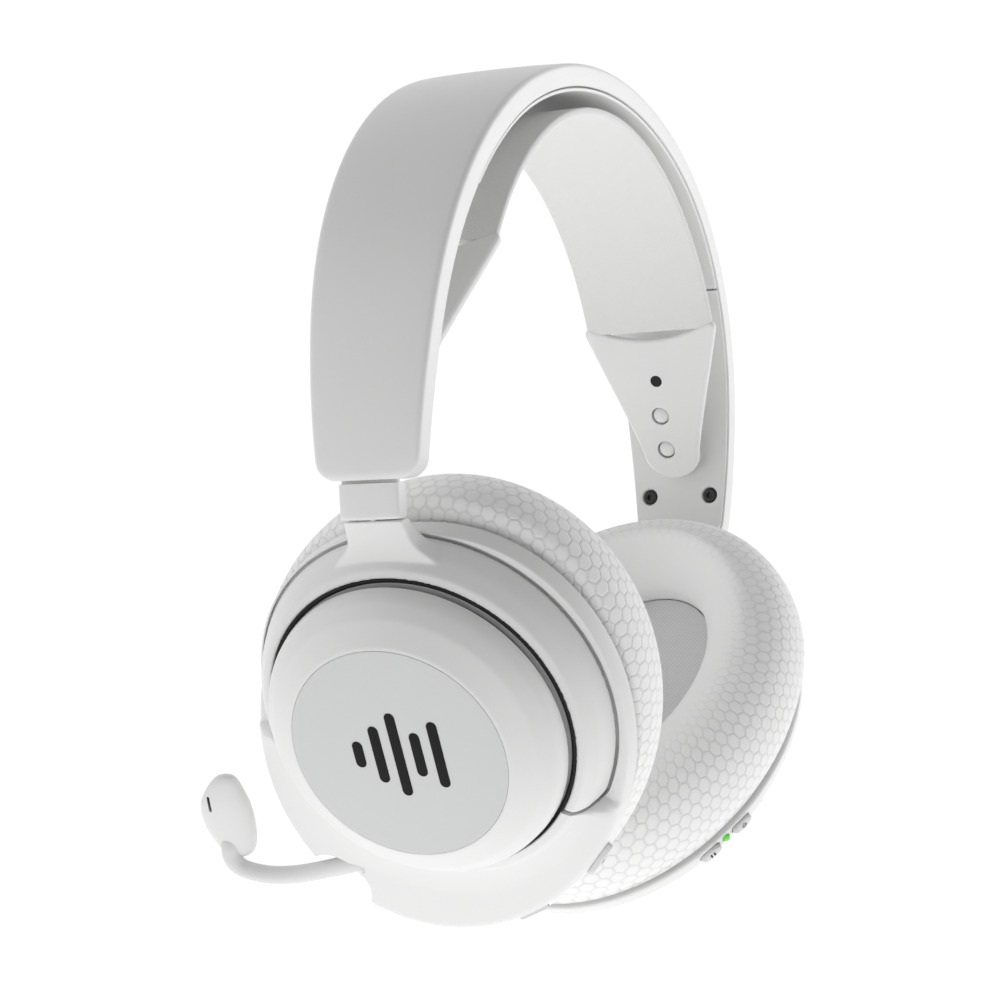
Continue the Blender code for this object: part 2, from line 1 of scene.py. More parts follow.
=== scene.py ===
"""Looks of the gaming headset: fine shells, knitted cushions, woven strap, light and camera.
Lengths in the shape functions are millimetres; a matrix takes them to metres."""
import json
from math import cos, hypot, pi, radians, sin, sqrt

import bmesh
import bpy
from mathutils import Matrix, Vector


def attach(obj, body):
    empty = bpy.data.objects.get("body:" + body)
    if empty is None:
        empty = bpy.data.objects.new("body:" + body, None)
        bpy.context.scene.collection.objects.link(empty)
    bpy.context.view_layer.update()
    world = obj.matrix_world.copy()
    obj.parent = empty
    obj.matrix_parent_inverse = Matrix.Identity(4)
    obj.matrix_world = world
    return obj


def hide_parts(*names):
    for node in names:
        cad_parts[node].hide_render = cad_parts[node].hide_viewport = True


MM = 0.001
PLACED = Matrix.Identity(4)
SHARP = radians(38.0)
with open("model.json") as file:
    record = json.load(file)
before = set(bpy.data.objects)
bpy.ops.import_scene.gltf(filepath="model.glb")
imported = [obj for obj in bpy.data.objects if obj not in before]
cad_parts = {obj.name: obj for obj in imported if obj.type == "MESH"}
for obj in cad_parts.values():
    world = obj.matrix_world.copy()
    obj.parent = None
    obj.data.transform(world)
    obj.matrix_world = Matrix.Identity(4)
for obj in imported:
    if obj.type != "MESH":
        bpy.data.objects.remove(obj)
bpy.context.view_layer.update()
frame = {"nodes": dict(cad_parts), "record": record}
NODES = frame["nodes"]

# The headband's arch, as the CAD has it: (length, radius) arcs from the crown down
ARCS = ((25.0, 105.0), (20.0, 100.0), (73.0, 77.0), (34.5, 120.0))
ARCH_LEN = sum(length for length, _ in ARCS)
CROWN_Z = 11.0
WIDTH_TOP, WIDTH_END, TAPER = 33.9, 22.3, 2.5
LINER_END, SEAM, BLOCK_TOP = 84.7, 160.4, 153.2
STRAP_MID, STRAP_RADIUS, STRAP_HALF_ANGLE, STRAP_HALF = 0.8, 70.2, radians(61.0), 16.5
TAB_TOP, TAB_BOTTOM = (61.6, -35.8), (80.6, -72.4)
CUP_CENTRE, CUP_TILT = (72.8, -142.0), radians(30.9)
YOKE_ENDS = (radians(-36.0), radians(188.0))
END_GAP = radians(1.15)
YOKE_MID = 37.0
RIM = dict(a=41.0, b=49.4, cx=-1.6, cy=-8.0, tilt=radians(29.0))
HOLE = dict(a=19.5, b=28.0, cx=-2.3, cy=-0.5, tilt=radians(29.0))
RIM_H = -24.0


# ---------------------------------------------------------------- materials
def shader(name, colour, rough, metal=0.0):
    """A Principled material with its nodes."""
    mat = bpy.data.materials.new(name)
    mat.use_nodes = True
    bsdf = mat.node_tree.nodes["Principled BSDF"]
    bsdf.inputs["Base Color"].default_value = (*colour, 1.0)
    bsdf.inputs["Roughness"].default_value = rough
    bsdf.inputs["Metallic"].default_value = metal
    return mat, mat.node_tree, bsdf


def node(tree, kind, **settings):
    """A node with its properties set."""
    made = tree.nodes.new(kind)
    for key, value in settings.items():
        setattr(made, key, value)
    return made


def math_node(tree, operation, a, b=None):
    """A Math node on two sockets or numbers."""
    made = node(tree, "ShaderNodeMath", operation=operation)
    for slot, value in ((0, a), (1, b)):
        if value is None:
            continue
        if isinstance(value, (int, float)):
            made.inputs[slot].default_value = value
        else:
            tree.links.new(value, made.inputs[slot])
    return made.outputs[0]


def noise(tree, scale, detail=3.0):
    """Noise over the object's own coordinates."""
    where = node(tree, "ShaderNodeTexCoord")
    tex = node(tree, "ShaderNodeTexNoise")
    tex.inputs["Scale"].default_value = scale
    tex.inputs["Detail"].default_value = detail
    tree.links.new(where.outputs["Object"], tex.inputs["Vector"])
    return tex.outputs["Fac"]


def ramp(tree, fac, low, high):
    """Map a 0..1 value to a range."""
    made = node(tree, "ShaderNodeMapRange")
    made.inputs["To Min"].default_value, made.inputs["To Max"].default_value = low, high
    tree.links.new(fac, made.inputs["Value"])
    return made.outputs["Result"]


def tint(tree, fac, dark, light):
    """Mix two colours by a value."""
    mix = node(tree, "ShaderNodeMix", data_type="RGBA")
    mix.inputs["A"].default_value, mix.inputs["B"].default_value = (*dark, 1.0), (*light, 1.0)
    tree.links.new(fac, mix.inputs["Factor"])
    return mix.outputs["Result"]


def bump(tree, bsdf, height, distance, strength=1.0):
    """Bump the surface by a height in metres times a 0..1 value."""
    made = node(tree, "ShaderNodeBump")
    made.inputs["Distance"].default_value, made.inputs["Strength"].default_value = distance, strength
    tree.links.new(height, made.inputs["Height"])
    tree.links.new(made.outputs["Normal"], bsdf.inputs["Normal"])


def plastic(name, colour, rough, grain=2600.0, depth=0.000012, shine=0.5):
    """Moulded plastic: a fine spark-eroded grain and slightly uneven gloss."""
    mat, tree, bsdf = shader(name, colour, rough)
    tree.links.new(ramp(tree, noise(tree, 90.0), rough - 0.05, rough + 0.05), bsdf.inputs["Roughness"])
    shade = tint(tree, noise(tree, 14.0, 2.0), tuple(0.975 * c for c in colour), colour)
    tree.links.new(shade, bsdf.inputs["Base Color"])
    bump(tree, bsdf, noise(tree, grain, 2.0), depth)
    bsdf.inputs["Specular IOR Level"].default_value = shine
    return mat


def metal(name, colour, rough, stretch=40.0):
    """Brushed metal with fine lines."""
    mat, tree, bsdf = shader(name, colour, rough, 1.0)
    where, scale, tex = node(tree, "ShaderNodeTexCoord"), node(tree, "ShaderNodeMapping"), node(tree,
            "ShaderNodeTexNoise")
    scale.inputs["Scale"].default_value = (stretch, stretch * 40.0, stretch * 4.0)
    tex.inputs["Scale"].default_value = 20.0
    tree.links.new(where.outputs["Object"], scale.inputs["Vector"])
    tree.links.new(scale.outputs["Vector"], tex.inputs["Vector"])
    tree.links.new(ramp(tree, tex.outputs["Fac"], rough * 0.7, rough * 1.4), bsdf.inputs["Roughness"])
    bump(tree, bsdf, tex.outputs["Fac"], 0.000004)
    return mat


def hex_cells(tree, uv, pitch):
    """Distance inside a hexagon cell, 0 at its edge and 0.5 in its middle."""
    def vec(operation, a, b=None):
        made = node(tree, "ShaderNodeVectorMath", operation=operation)
        for slot, value in ((0, a), (1, b)):
            if value is None:
                continue
            if isinstance(value, tuple):
                made.inputs[slot].default_value = value
            else:
                tree.links.new(value, made.inputs[slot])
        return made
    period = (1.0, sqrt(3.0), 1.0)
    half = (0.5, sqrt(3.0) / 2.0, 0.0)
    point = vec("ADD", vec("MULTIPLY", uv, (1.0 / pitch, 1.0 / pitch, 0.0)).outputs[0],
            (100.0, 100.0 * sqrt(3.0), 0.0)).outputs[0]
    near = []
    for shift in ((0.0, 0.0, 0.0), half):
        moved = vec("SUBTRACT", point, shift).outputs[0]
        cell = vec("SUBTRACT", vec("MODULO", moved, period).outputs[0], half).outputs[0]
        size = vec("ABSOLUTE", cell).outputs[0]
        split = node(tree, "ShaderNodeSeparateXYZ")
        tree.links.new(size, split.inputs[0])
        reach = math_node(tree, "MAXIMUM", vec("DOT_PRODUCT", size, (0.5, sqrt(3.0) / 2.0, 0.0)).outputs["Value"],
                split.outputs["X"])
        near.append(math_node(tree, "SUBTRACT", 0.5, reach))
    return math_node(tree, "MAXIMUM", near[0], near[1])


def knit(name, colour, pitch):
    """Honeycomb spacer mesh: plump cells, thin sunk lines between them, fine yarn."""
    mat, tree, bsdf = shader(name, colour, 0.92)
    where = node(tree, "ShaderNodeUVMap", uv_map="UVMap")
    cell = hex_cells(tree, where.outputs[0], pitch)
    soft = math_node(tree, "MINIMUM", math_node(tree, "MULTIPLY", cell, 7.0), 1.0)
    dome = math_node(tree, "MULTIPLY", math_node(tree, "POWER", soft, 0.6), 0.8)
    yarn = math_node(tree, "MULTIPLY", noise(tree, 2300.0, 2.0), 0.18)
    patch = math_node(tree, "MULTIPLY", noise(tree, 420.0, 2.0), 0.25)
    height = math_node(tree, "ADD", math_node(tree, "ADD", dome, yarn), patch)
    zone = node(tree, "ShaderNodeAttribute", attribute_name="knit").outputs["Fac"]
    height = math_node(tree, "MULTIPLY", height, zone)
    # Painted shade: the colour is darkened to 92 % in the sunk lines between the cells, as shade in the recesses, on
    # top of the bump.
    flat = math_node(tree, "SUBTRACT", 1.0, math_node(tree, "MULTIPLY", math_node(tree, "SUBTRACT", 1.0, soft), zone))
    shade = tint(tree, flat, tuple(0.92 * c for c in colour), colour)
    tree.links.new(shade, bsdf.inputs["Base Color"])
    bsdf.inputs["Sheen Weight"].default_value = 0.25
    bsdf.inputs["Sheen Roughness"].default_value = 0.5
    bump(tree, bsdf, height, 0.0003, 0.7)
    return mat


def weave(name, colour, dark, pitch, depth):
    """Plain woven cloth on the piece's UVs, in metres."""
    mat, tree, bsdf = shader(name, colour, 0.95)
    where = node(tree, "ShaderNodeUVMap", uv_map="UVMap")
    split = node(tree, "ShaderNodeSeparateXYZ")
    tree.links.new(where.outputs[0], split.inputs[0])
    waves = [math_node(tree, "SINE", math_node(tree, "MULTIPLY", split.outputs[k], 2 * pi / pitch)) for k in ("X",
            "Y")]
    over = math_node(tree, "MULTIPLY", waves[0], waves[1])
    level = ramp(tree, over, 0.0, 1.0)
    tree.links.new(tint(tree, level, dark, colour), bsdf.inputs["Base Color"])
    bsdf.inputs["Sheen Weight"].default_value = 0.2
    both = math_node(tree, "ADD", level, math_node(tree, "MULTIPLY", noise(tree, 1500.0), 0.5))
    bump(tree, bsdf, both, depth)
    return mat


WHITE = plastic("satin_white", (0.80, 0.80, 0.795), 0.36)
PALE = plastic("pale_grey", (0.70, 0.70, 0.695), 0.42)
MATTE = plastic("matte_grey", (0.66, 0.665, 0.665), 0.62, 3200.0, 0.00002)
BLACK = plastic("black_plastic", (0.018, 0.018, 0.019), 0.5, shine=0.2)
INK = plastic("black_print", (0.012, 0.012, 0.013), 0.45, 3200.0, 0.00001, 0.12)
SOFT = plastic("soft_white", (0.76, 0.76, 0.755), 0.5, 1800.0, 0.00002)
STEEL = metal("steel", (0.60, 0.60, 0.61), 0.28)
BLACK_STEEL = metal("black_steel", (0.06, 0.06, 0.062), 0.35)
CELL_PITCH = 0.0033
MESH = knit("mesh_fabric", (0.90, 0.90, 0.895), CELL_PITCH)
STRAP = weave("strap_weave", (0.80, 0.80, 0.795), (0.74, 0.74, 0.735), 0.0008, 0.00003)
GREY_CLOTH = weave("grey_cloth", (0.84, 0.84, 0.845), (0.70, 0.70, 0.705), 0.0010, 0.00006)
BOARD = plastic("board_green", (0.03, 0.16, 0.07), 0.4)
CELL = plastic("cell_wrap", (0.16, 0.24, 0.40), 0.35)
LIGHT = plastic("green_light", (0.22, 0.85, 0.12), 0.25)
FINISHES = dict(satin_white=WHITE, pale_grey=PALE, matte_grey=MATTE, black_plastic=BLACK, steel=STEEL,
        black_steel=BLACK_STEEL,
                mesh_fabric=MESH, strap_weave=STRAP, grey_cloth=GREY_CLOTH, soft_white=SOFT, board_green=BOARD, cell_wrap=CELL,
                green_light=LIGHT)
SLOTS = {entry["node"]: entry["material_slot"] for entry in frame["record"]["subparts"]}
for name, obj in NODES.items():
    obj.data.materials.clear()
    obj.data.materials.append(FINISHES[SLOTS[name]])


# ---------------------------------------------------------------- shape tools
def catmull(points, per, closed=False):
    """A smooth line through points of any dimension."""
    n = len(points)
    out = []
    for i in range(n if closed else n - 1):
        a, b, c, d = (points[k % n] if closed else points[min(max(k, 0), n - 1)] for k in (i - 1, i, i + 1, i + 2))
        for k in range(per):
            t = k / per
            out.append(tuple(0.5 * (2 * q + (r - p) * t + (2 * p - 5 * q + 4 * r - s) * t * t
                                    + (3 * q - p - 3 * r + s) * t ** 3) for p, q, r, s in zip(a, b, c, d)))
    return out if closed else out + [tuple(points[-1])]


def rounded(points, radii, steps=4):
    """A closed outline with each corner (radius > 0) turned into an arc-like bend."""
    n, out = len(points), []
    for i, here in enumerate(points):
        here, before, after = Vector(here), Vector(points[i - 1]), Vector(points[(i + 1) % n])
        reach = min(radii[i], 0.48 * (here - before).length, 0.48 * (after - here).length)
        if reach <= 0.0:
            out.append(here)
            continue
        start, end = here + (before - here).normalized() * reach, here + (after - here).normalized() * reach
        for k in range(steps + 1):
            t = k / steps
            out.append(start * (1 - t) ** 2 + here * 2 * t * (1 - t) + end * t * t)
    return out


def skin(name, rings, matrix, mat, closed=False):
    """A smooth skin over rings of points, with UVs in metres along and round it."""
    bm = bmesh.new()
    layer = bm.loops.layers.uv.new("UVMap")
    rows = [[bm.verts.new(Vector(p) * MM) for p in ring] for ring in rings]
    count, total = len(rows[0]), len(rows)
    mids = [sum((Vector(p) for p in ring), Vector()) / count for ring in rings]
    along = [0.0]
    for i in range(total):
        a, b = Vector(rings[i][0]), Vector(rings[(i + 1) % total][0])
        along.append(along[-1] + ((mids[(i + 1) % total] - mids[i]).length + (b - a).length) / 2.0)
    across = [0.0]
    wide = max(rings, key=lambda ring: sum((Vector(ring[k]) - Vector(ring[k - 1])).length for k in range(count)))
    for k in range(count):
        across.append(across[-1] + (Vector(wide[(k + 1) % count]) - Vector(wide[k])).length)
    for i in range(total if closed else total - 1):
        for k in range(count):
            j, m = (i + 1) % total, (k + 1) % count
            face = bm.faces.new((rows[i][k], rows[i][m], rows[j][m], rows[j][k]))
            for loop, (u, v) in zip(face.loops, ((i, k), (i, k + 1), (i + 1, k + 1), (i + 1, k))):
                loop[layer].uv = (along[u] * MM, across[v] * MM)
    if not closed:
        bm.faces.new(rows[0])
        bm.faces.new(rows[-1])
    return finish_mesh(name, bm, matrix, mat)


def finish_mesh(name, bm, matrix, mat):
    """Turn a bmesh (in metres) into a linked object with tidy normals."""
    bmesh.ops.recalc_face_normals(bm, faces=bm.faces)
    bmesh.ops.transform(bm, matrix=matrix, verts=bm.verts)
    mesh = bpy.data.meshes.new(name)
    bm.to_mesh(mesh)
    bm.free()
    mesh.shade_smooth()
    mesh.set_sharp_from_angle(angle=SHARP)
    mesh.materials.append(mat)
    obj = bpy.data.objects.new(name, mesh)
    bpy.context.scene.collection.objects.link(obj)
    return obj


def lathe(name, profile, matrix, mat, steps=128):
    """A solid turned about local Z from a closed (radius, height) outline."""
    rings = [[(r * cos(2 * pi * k / steps), r * sin(2 * pi * k / steps), h) for r,
            h in profile] for k in range(steps)]
    obj = skin(name, rings, matrix, mat, closed=True)
    weld(obj, 0.000002)
    return obj


def weld(obj, distance):
    """Merge points that coincide, as at the middle of a turned disc."""
    bm = bmesh.new()
    bm.from_mesh(obj.data)
    bmesh.ops.remove_doubles(bm, verts=bm.verts, dist=distance)
    bmesh.ops.dissolve_degenerate(bm, dist=distance, edges=bm.edges)
    bmesh.ops.recalc_face_normals(bm, faces=bm.faces)
    bm.to_mesh(obj.data)
    bm.free()


def settle(obj):
    """Turn a piece's modifiers into its own mesh."""
    bpy.context.view_layer.update()
    done = bpy.data.meshes.new_from_object(obj.evaluated_get(bpy.context.evaluated_depsgraph_get()))
    obj.modifiers.clear()
    obj.data = done
    return done


def cut(obj, tool, operation="DIFFERENCE"):
    """Boolean a closed tool into a closed piece and drop the tool."""
    change = obj.modifiers.new("Cut", "BOOLEAN")
    change.operation, change.object, change.solver = operation, tool, "EXACT"
    done = settle(obj)
    bpy.data.objects.remove(tool)
    done.set_sharp_from_angle(angle=SHARP)


def bore(obj, radius, low, high, at, steps):
    """Cut a round hole between two heights of a frame."""
    cut(obj, lathe("tool", [(0.0, low), (radius, low), (radius, high), (0.0, high)], at, WHITE, steps))


def frame_at(x, y, z, out, along):
    """A matrix at a point in mm, local Z along out and local X near along."""
    z_axis = Vector(out).normalized()
    y_axis = z_axis.cross(Vector(along)).normalized()
    x_axis = y_axis.cross(z_axis)
    return Matrix.Translation(Vector((x, y, z)) * MM) @ Matrix((x_axis, y_axis, z_axis)).transposed().to_4x4()


def mirrored(obj, name):
    """The other side's copy of a left piece."""
    mesh = obj.data.copy()
    mesh.transform(Matrix.Scale(-1.0, 4, (1.0, 0.0, 0.0)))
    mesh.flip_normals()
    twin = bpy.data.objects.new(name, mesh)
    bpy.context.scene.collection.objects.link(twin)
    return twin


def use(obj, body, slot, *cad):
    """Attach a piece to its body and hide the CAD nodes that it stands for."""
    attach(obj, body)
    if cad:
        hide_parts(*cad)


def pair(obj, body, slot, cad=True):
    """Use a left piece and its mirror image, standing for nodes of the same base name."""
    base = obj.name.removesuffix("_left_look")
    twin = mirrored(obj, base + "_right_look")
    for piece, side in ((obj, "left"), (twin, "right")):
        owner = body if body == "headband" else body + "_" + side
        use(piece, owner, slot, *([base + "_" + side] if cad else []))
    return obj, twin


# ---------------------------------------------------------------- the headband
def arch(s, depth=0.0):
    """Point (x, z) in mm a depth under the cover's top, s along it, and its slope."""
    side = -1.0 if s < 0 else 1.0
    left, x, z, turn = abs(s), 0.0, CROWN_Z, 0.0
    for index, (length, radius) in enumerate(ARCS):
        step = left if index == len(ARCS) - 1 else min(left, length)
        x += radius * (sin(turn + step / radius) - sin(turn))
        z += radius * (cos(turn + step / radius) - cos(turn))
        turn += step / radius
        left -= step
        if left <= 0.0:
            break
    return side * (x - depth * sin(turn)), z - depth * cos(turn), side * turn


def arch_ring(s, outline):
    """Points of a (y, depth) outline on the arch at s."""
    return [(arch(s, depth)[0], y, arch(s, depth)[1]) for y, depth in outline]


def half_width(s):
    """Half the cover's width at s: it narrows towards the ends."""
    return (WIDTH_END + (WIDTH_TOP - WIDTH_END) * (1.0 - min(abs(s) / ARCH_LEN, 1.0) ** TAPER)) / 2.0


def corner(s, end, radius):
    """How far an end corner of a strip pulls its side in at s."""
    into = max(0.0, radius - (end - abs(s)))
    return radius - sqrt(max(0.0, radius * radius - into * into))


def stations(s0, s1, step, fine=()):
    """Places from s0 to s1, closer together near the fine ones."""
    count = max(2, round((s1 - s0) / step))
    marks = {round(s0 + (s1 - s0) * i / count, 4) for i in range(count + 1)}
    for mark in fine:
        marks |= {round(mark + d, 4) for d in (-4.0, -3.4, -2.6, -1.8, -1.1, -0.6, -0.25, -0.08, 0.0, 0.08, 0.25, 0.6,
                                               1.1, 1.8, 2.6, 3.4, 4.0) if s0 <= mark + d <= s1}
    return sorted(marks)


def headband():
    """Cover, liner and arm covers, with the seams between them."""
    rings = []
    for s in stations(-ARCH_LEN, ARCH_LEN, 2.2, (-ARCH_LEN, ARCH_LEN)):
        w = half_width(s) - corner(s, ARCH_LEN, 4.0)
        lip = 0.35 * max(0.0, 1.0 - (ARCH_LEN - abs(s)) / 0.9)
        v = w - 1.5
        crown = [(w * k / 6.0, 0.42 * abs(k / 6.0) ** 2.4 + lip) for k in range(-5, 6)]
        outline = [(-w, 5.4), (-w, 0.45 + lip)] + crown + [(w, 0.45 + lip), (w, 5.4), (v, 5.4), (v, 1.6), (-v, 1.6),
                (-v, 5.4)]
        rings.append(arch_ring(s, [tuple(p) for p in rounded(
            outline, [0.3, 1.3] + [0.0] * 11 + [1.3, 0.3, 0.3, 0.4, 0.4, 0.3], 5)]))
    use(skin("headband_cover_look", rings, PLACED, WHITE), "headband", "satin_white", "headband_cover")
    rings = []
    for s in stations(-LINER_END, LINER_END, 2.4, (-LINER_END, LINER_END)):
        w = half_width(s)
        tuck = corner(s, LINER_END, 0.6)
        v, lip = w - 1.85 - tuck, w - 0.35 - tuck
        outline = [(-v, 3.4), (v, 3.4), (v, 5.72), (lip, 5.72), (lip, 6.5 - tuck), (-lip, 6.5 - tuck), (-lip, 5.72),
                (-v, 5.72)]
        rings.append(arch_ring(s, [tuple(p) for p in rounded(outline, [0.2, 0.2, 0.1, 0.3, 0.45, 0.45, 0.3, 0.1],
                4)]))
    use(skin("headband_liner_look", rings, PLACED, WHITE), "headband", "satin_white", "headband_liner")
    rings, start, end = [], LINER_END + 0.5, ARCH_LEN - 1.0
    for s in stations(start, end, 1.6, (start, end)):
        pull = corner(s, end, 3.0)
        v, lip = half_width(s) - 1.85 - pull, half_width(s) - 0.4 - pull
        outline = [(-v, 4.1), (v, 4.1), (v, 5.65), (lip, 5.65), (lip, 6.2), (-lip, 6.2), (-lip, 5.65), (-v, 5.65)]
        rings.append(arch_ring(s, [tuple(p) for p in rounded(outline, [0.2, 0.2, 0.1, 0.2, 0.4, 0.4, 0.2, 0.1], 4)]))
    cover = skin("arm_cover_left_look", rings, PLACED, WHITE)
    for tag, y in (("front", -8.0), ("rear", 8.0)):
        x, z, turn = arch(141.0, 5.5)
        at = frame_at(x, y, z, (-sin(turn), 0.0, -cos(turn)), (cos(turn), 0.0, -sin(turn)))
        cut(cover, lathe("tool", [(0.0, -6.0), (1.95, -6.0), (1.95, 0.35), (2.25, 0.8), (2.25, 4.0), (0.0, 4.0)],
                at, WHITE, 32))
        hexagon = [(0.0, -0.25)] + [(0.72, -0.25), (0.75, 0.35), (1.15, 0.45), (1.6, 0.35), (1.75, 0.0),
                (1.75, -1.6), (0.0, -1.6)]
        screw = lathe("arm_screw_%s_left_look" % tag, hexagon, at, BLACK_STEEL, 36)
        pair(screw, "headband", "black_steel")
    pair(cover, "headband", "satin_white")


def tab_frame(along, y=0.0, out=0.0):
    """A frame on the left strap plate: X down it, Z away from the head."""
    run = Vector((TAB_BOTTOM[0] - TAB_TOP[0], TAB_BOTTOM[1] - TAB_TOP[1])).normalized()
    x = TAB_TOP[0] + run.x * along - run.y * out
    z = TAB_TOP[1] + run.y * along + run.x * out
    return frame_at(x, y, z, (-run.y, 0.0, run.x), (run.x, 0.0, run.y))


def inset(outline, by):
    """A closed outline moved inwards by a distance (it runs anticlockwise)."""
    out, n = [], len(outline)
    for i, here in enumerate(outline):
        a, b = Vector(outline[i - 1][:2]), Vector(outline[(i + 1) % n][:2])
        run = (b - a).normalized()
        out.append((here[0] - run.y * by, here[1] + run.x * by))
    return out


def plate_of(name, outline, thick, matrix, mat, edge=0.4, dome=0.0):
    """A plate from an anticlockwise outline, its edges rounded and its top domed."""
    low = []
    for k in range(6):
        a = pi / 2 * k / 5
        low.append([(x, y, -thick / 2 + edge * (1 - cos(a))) for x, y in inset(outline, edge * (1 - sin(a)))])
    top = []
    for k in range(6):
        a = pi / 2 * k / 5
        top.append([(x, y, thick / 2 - edge * (1 - sin(a))) for x, y in inset(outline, edge * (1 - cos(a)))])
    cx, cy = sum(p[0] for p in outline) / len(outline), sum(p[1] for p in outline) / len(outline)
    last = top[-1]
    if dome:
        for k in (0.75, 0.5, 0.25):
            top.append([(cx + (x - cx) * k, cy + (y - cy) * k, z + dome * (1 - k * k)) for x, y, z in last])
    return skin(name, low + top, matrix, mat)


def tabs():
    """Strap plates, their pegs and the anchor blocks behind them."""
    length = hypot(TAB_BOTTOM[0] - TAB_TOP[0], TAB_BOTTOM[1] - TAB_TOP[1])
    side = catmull([(2.4, 17.2), (6.0, 16.1), (13.0, 13.9), (20.0, 11.6), (29.0, 8.8), (length - 7.0, 7.4)], 6)
    dip = [(0.8 + 3.6 * (1.0 - (k / 10.0) ** 2), 15.6 * k / 10.0) for k in range(1, 10)]
    side = dip + [(0.8, 15.6), (1.0, 16.6), (1.6, 17.1)] + side
    side += [(length - 7.0 + 7.0 * sin(a), 7.4 * cos(a)) for a in [radians(9 * k) for k in range(1, 10)]]
    outline = [(4.4, 0.0)] + [(x, -y) for x, y in side] + [(length, 0.0)] + list(reversed(side))
    tab = plate_of("strap_tab_left_look", outline, 2.2, tab_frame(0.0), WHITE, 0.85)
    block_rings = []
    for i in range(13):
        share = i / 12.0
        near = tab_frame(18.0 + 18.0 * share, 0.0, 1.1).translation / MM
        x, z, _ = arch(111.0 + 20.0 * share, 5.5)
        p = [Vector(q) for q in ((near.x, -5.0, near.z), (near.x, 5.0, near.z), (x, 5.0, z), (x, -5.0, z))]
        block_rings.append([tuple(q) for q in rounded(p, [0.1, 0.1, 0.1, 0.1], 3)])
    block = skin("anchor_block_left_look", block_rings, PLACED, WHITE)
    bore(tab, 1.5, -4.0, 4.0, tab_frame(15.1, -0.4), 40)
    # Painted shade: a black disc sits down in the tab's hole to stand in for the shade inside it; it is no part of
    # the CAD.
    hole_shade = lathe("tab_hole_left_look", [(0.0, -1.0), (1.6, -1.0), (1.6, -0.2), (1.3, -0.3), (0.0, -0.4)],
            tab_frame(15.1, -0.4), BLACK, 40)
    pair(hole_shade, "headband", "black_plastic", False)
    for tag, along in (("upper", 24.4), ("lower", 33.4)):
        bore(tab, 2.3, -4.0, 4.0, tab_frame(along, -1.0), 40)
        bore(block, 2.3, -6.0, 1.2, tab_frame(along, -1.0, 2.2), 40)
        peg = lathe("strap_peg_%s_left_look" % tag, [(0.0, -1.75), (0.9, -1.68), (1.6, -1.4), (2.02, -0.95),
                (2.1, -0.6), (2.1, 1.7), (0.0, 1.7)],
                    tab_frame(along, -1.0, 0.5), WHITE, 48)
        pair(peg, "headband", "satin_white")
    pair(tab, "headband", "satin_white")
    pair(block, "headband", "satin_white")


def strap():
    """The hung strap: a thin woven band with soft edges."""
    rings = []
    for i in range(97):
        share = i / 48.0 - 1.0
        outline = rounded([(-STRAP_HALF, 0.8), (-STRAP_HALF, -0.8), (STRAP_HALF, -0.8), (STRAP_HALF, 0.8)],
                [0.6] * 4, 4)
        ring = []
        for p in outline:
            r = STRAP_RADIUS + p.y
            bulge = (2.7 + 3.6 * max(0.0, 1.0 - (p.x / 15.6) ** 2)) * abs(share) ** 9 * (1.0 if share > 0 else -1.0)
            turn = STRAP_HALF_ANGLE * share + bulge / STRAP_RADIUS
            ring.append((r * sin(turn), p.x, STRAP_MID - STRAP_RADIUS + r * cos(turn)))
        rings.append(ring)
    band = skin("strap_look", rings, PLACED, STRAP)
    use(band, "headband", "strap_weave", "strap")


# ---------------------------------------------------------------- the cups
CUP = frame_at(CUP_CENTRE[0], 0.0, CUP_CENTRE[1], (cos(CUP_TILT), 0.0, -sin(CUP_TILT)), (0.0, 1.0, 0.0))


def in_cup(x, y, h, out=(0.0, 0.0, 1.0), along=(1.0, 0.0, 0.0)):
    """A frame in the left cup's own axes."""
    return CUP @ frame_at(x, y, h, out, along)


def oval(angle, a, b, cx, cy, tilt):
    """Distance from the disc's axis to an off-centre tilted ellipse, mm."""
    dx, dy = cos(angle), sin(angle)
    u, v = (cos(tilt), -sin(tilt)), (sin(tilt), cos(tilt))
    pu, pv = (dx * u[0] + dy * u[1]) / a, (dx * v[0] + dy * v[1]) / b
    qu, qv = (-cx * u[0] - cy * u[1]) / a, (-cx * v[0] - cy * v[1]) / b
    lead, half, rest = pu * pu + pv * pv, pu * qu + pv * qv, qu * qu + qv * qv - 1.0
    return (-half + (half * half - lead * rest) ** 0.5) / lead


def rim(angle, grow=0.0):
    """Radius of the cup's oval rim, grown outwards by some mm."""
    return oval(angle, RIM["a"] + grow, RIM["b"] + grow, RIM["cx"], RIM["cy"], RIM["tilt"])


def polar(angle, pairs):
    """Points at an angle in the cup from (radius, height) pairs."""
    return [(p[0] * cos(angle), p[0] * sin(angle), p[1]) for p in pairs]


def wall_frame(angle, h, grow=0.25):
    """A frame on the housing's side wall, Z square out of it and X round the cup."""
    near, here, far = (Vector(((rim(a) + grow) * cos(a), (rim(a) + grow) * sin(a))) for a in (angle - 0.02, angle,
            angle + 0.02))
    run = (far - near).normalized()
    return in_cup(here.x, here.y, h, (run.y, -run.x, 0.0), (run.x, run.y, 0.0))


def between(r, points):
    """Height of a broken line at a radius."""
    for (r0, h0), (r1, h1) in zip(points, points[1:]):
        if r <= r1:
            return h0 + (h1 - h0) * max(0.0, r - r0) / (r1 - r0)
    return points[-1][1]


def brow(r):
    """Height of the face shared by the yoke and the wall around it."""
    return between(r, [(33.4, -11.2), (35.2, -11.75), (36.4, -13.4), (37.5, -15.4), (38.3, -17.7), (39.0, -20.0)])


def reach(near):
    """Outer radius of the yoke, rounded off towards each end."""
    return 34.5 + 4.5 * sqrt(max(0.0, 1.0 - (1.0 - min(1.0, max(0.0, near) / 4.5)) ** 2))


def seat_depth(angle):
    """How far an angle lies inside the yoke's seat, in mm along it; negative on the free wall."""
    start, end = YOKE_ENDS[0] - END_GAP, YOKE_ENDS[1] + END_GAP
    while angle < start - 0.1:
        angle += 2 * pi
    while angle > start + 2 * pi - 0.1:
        angle -= 2 * pi
    return min(angle - start, end - angle) * YOKE_MID


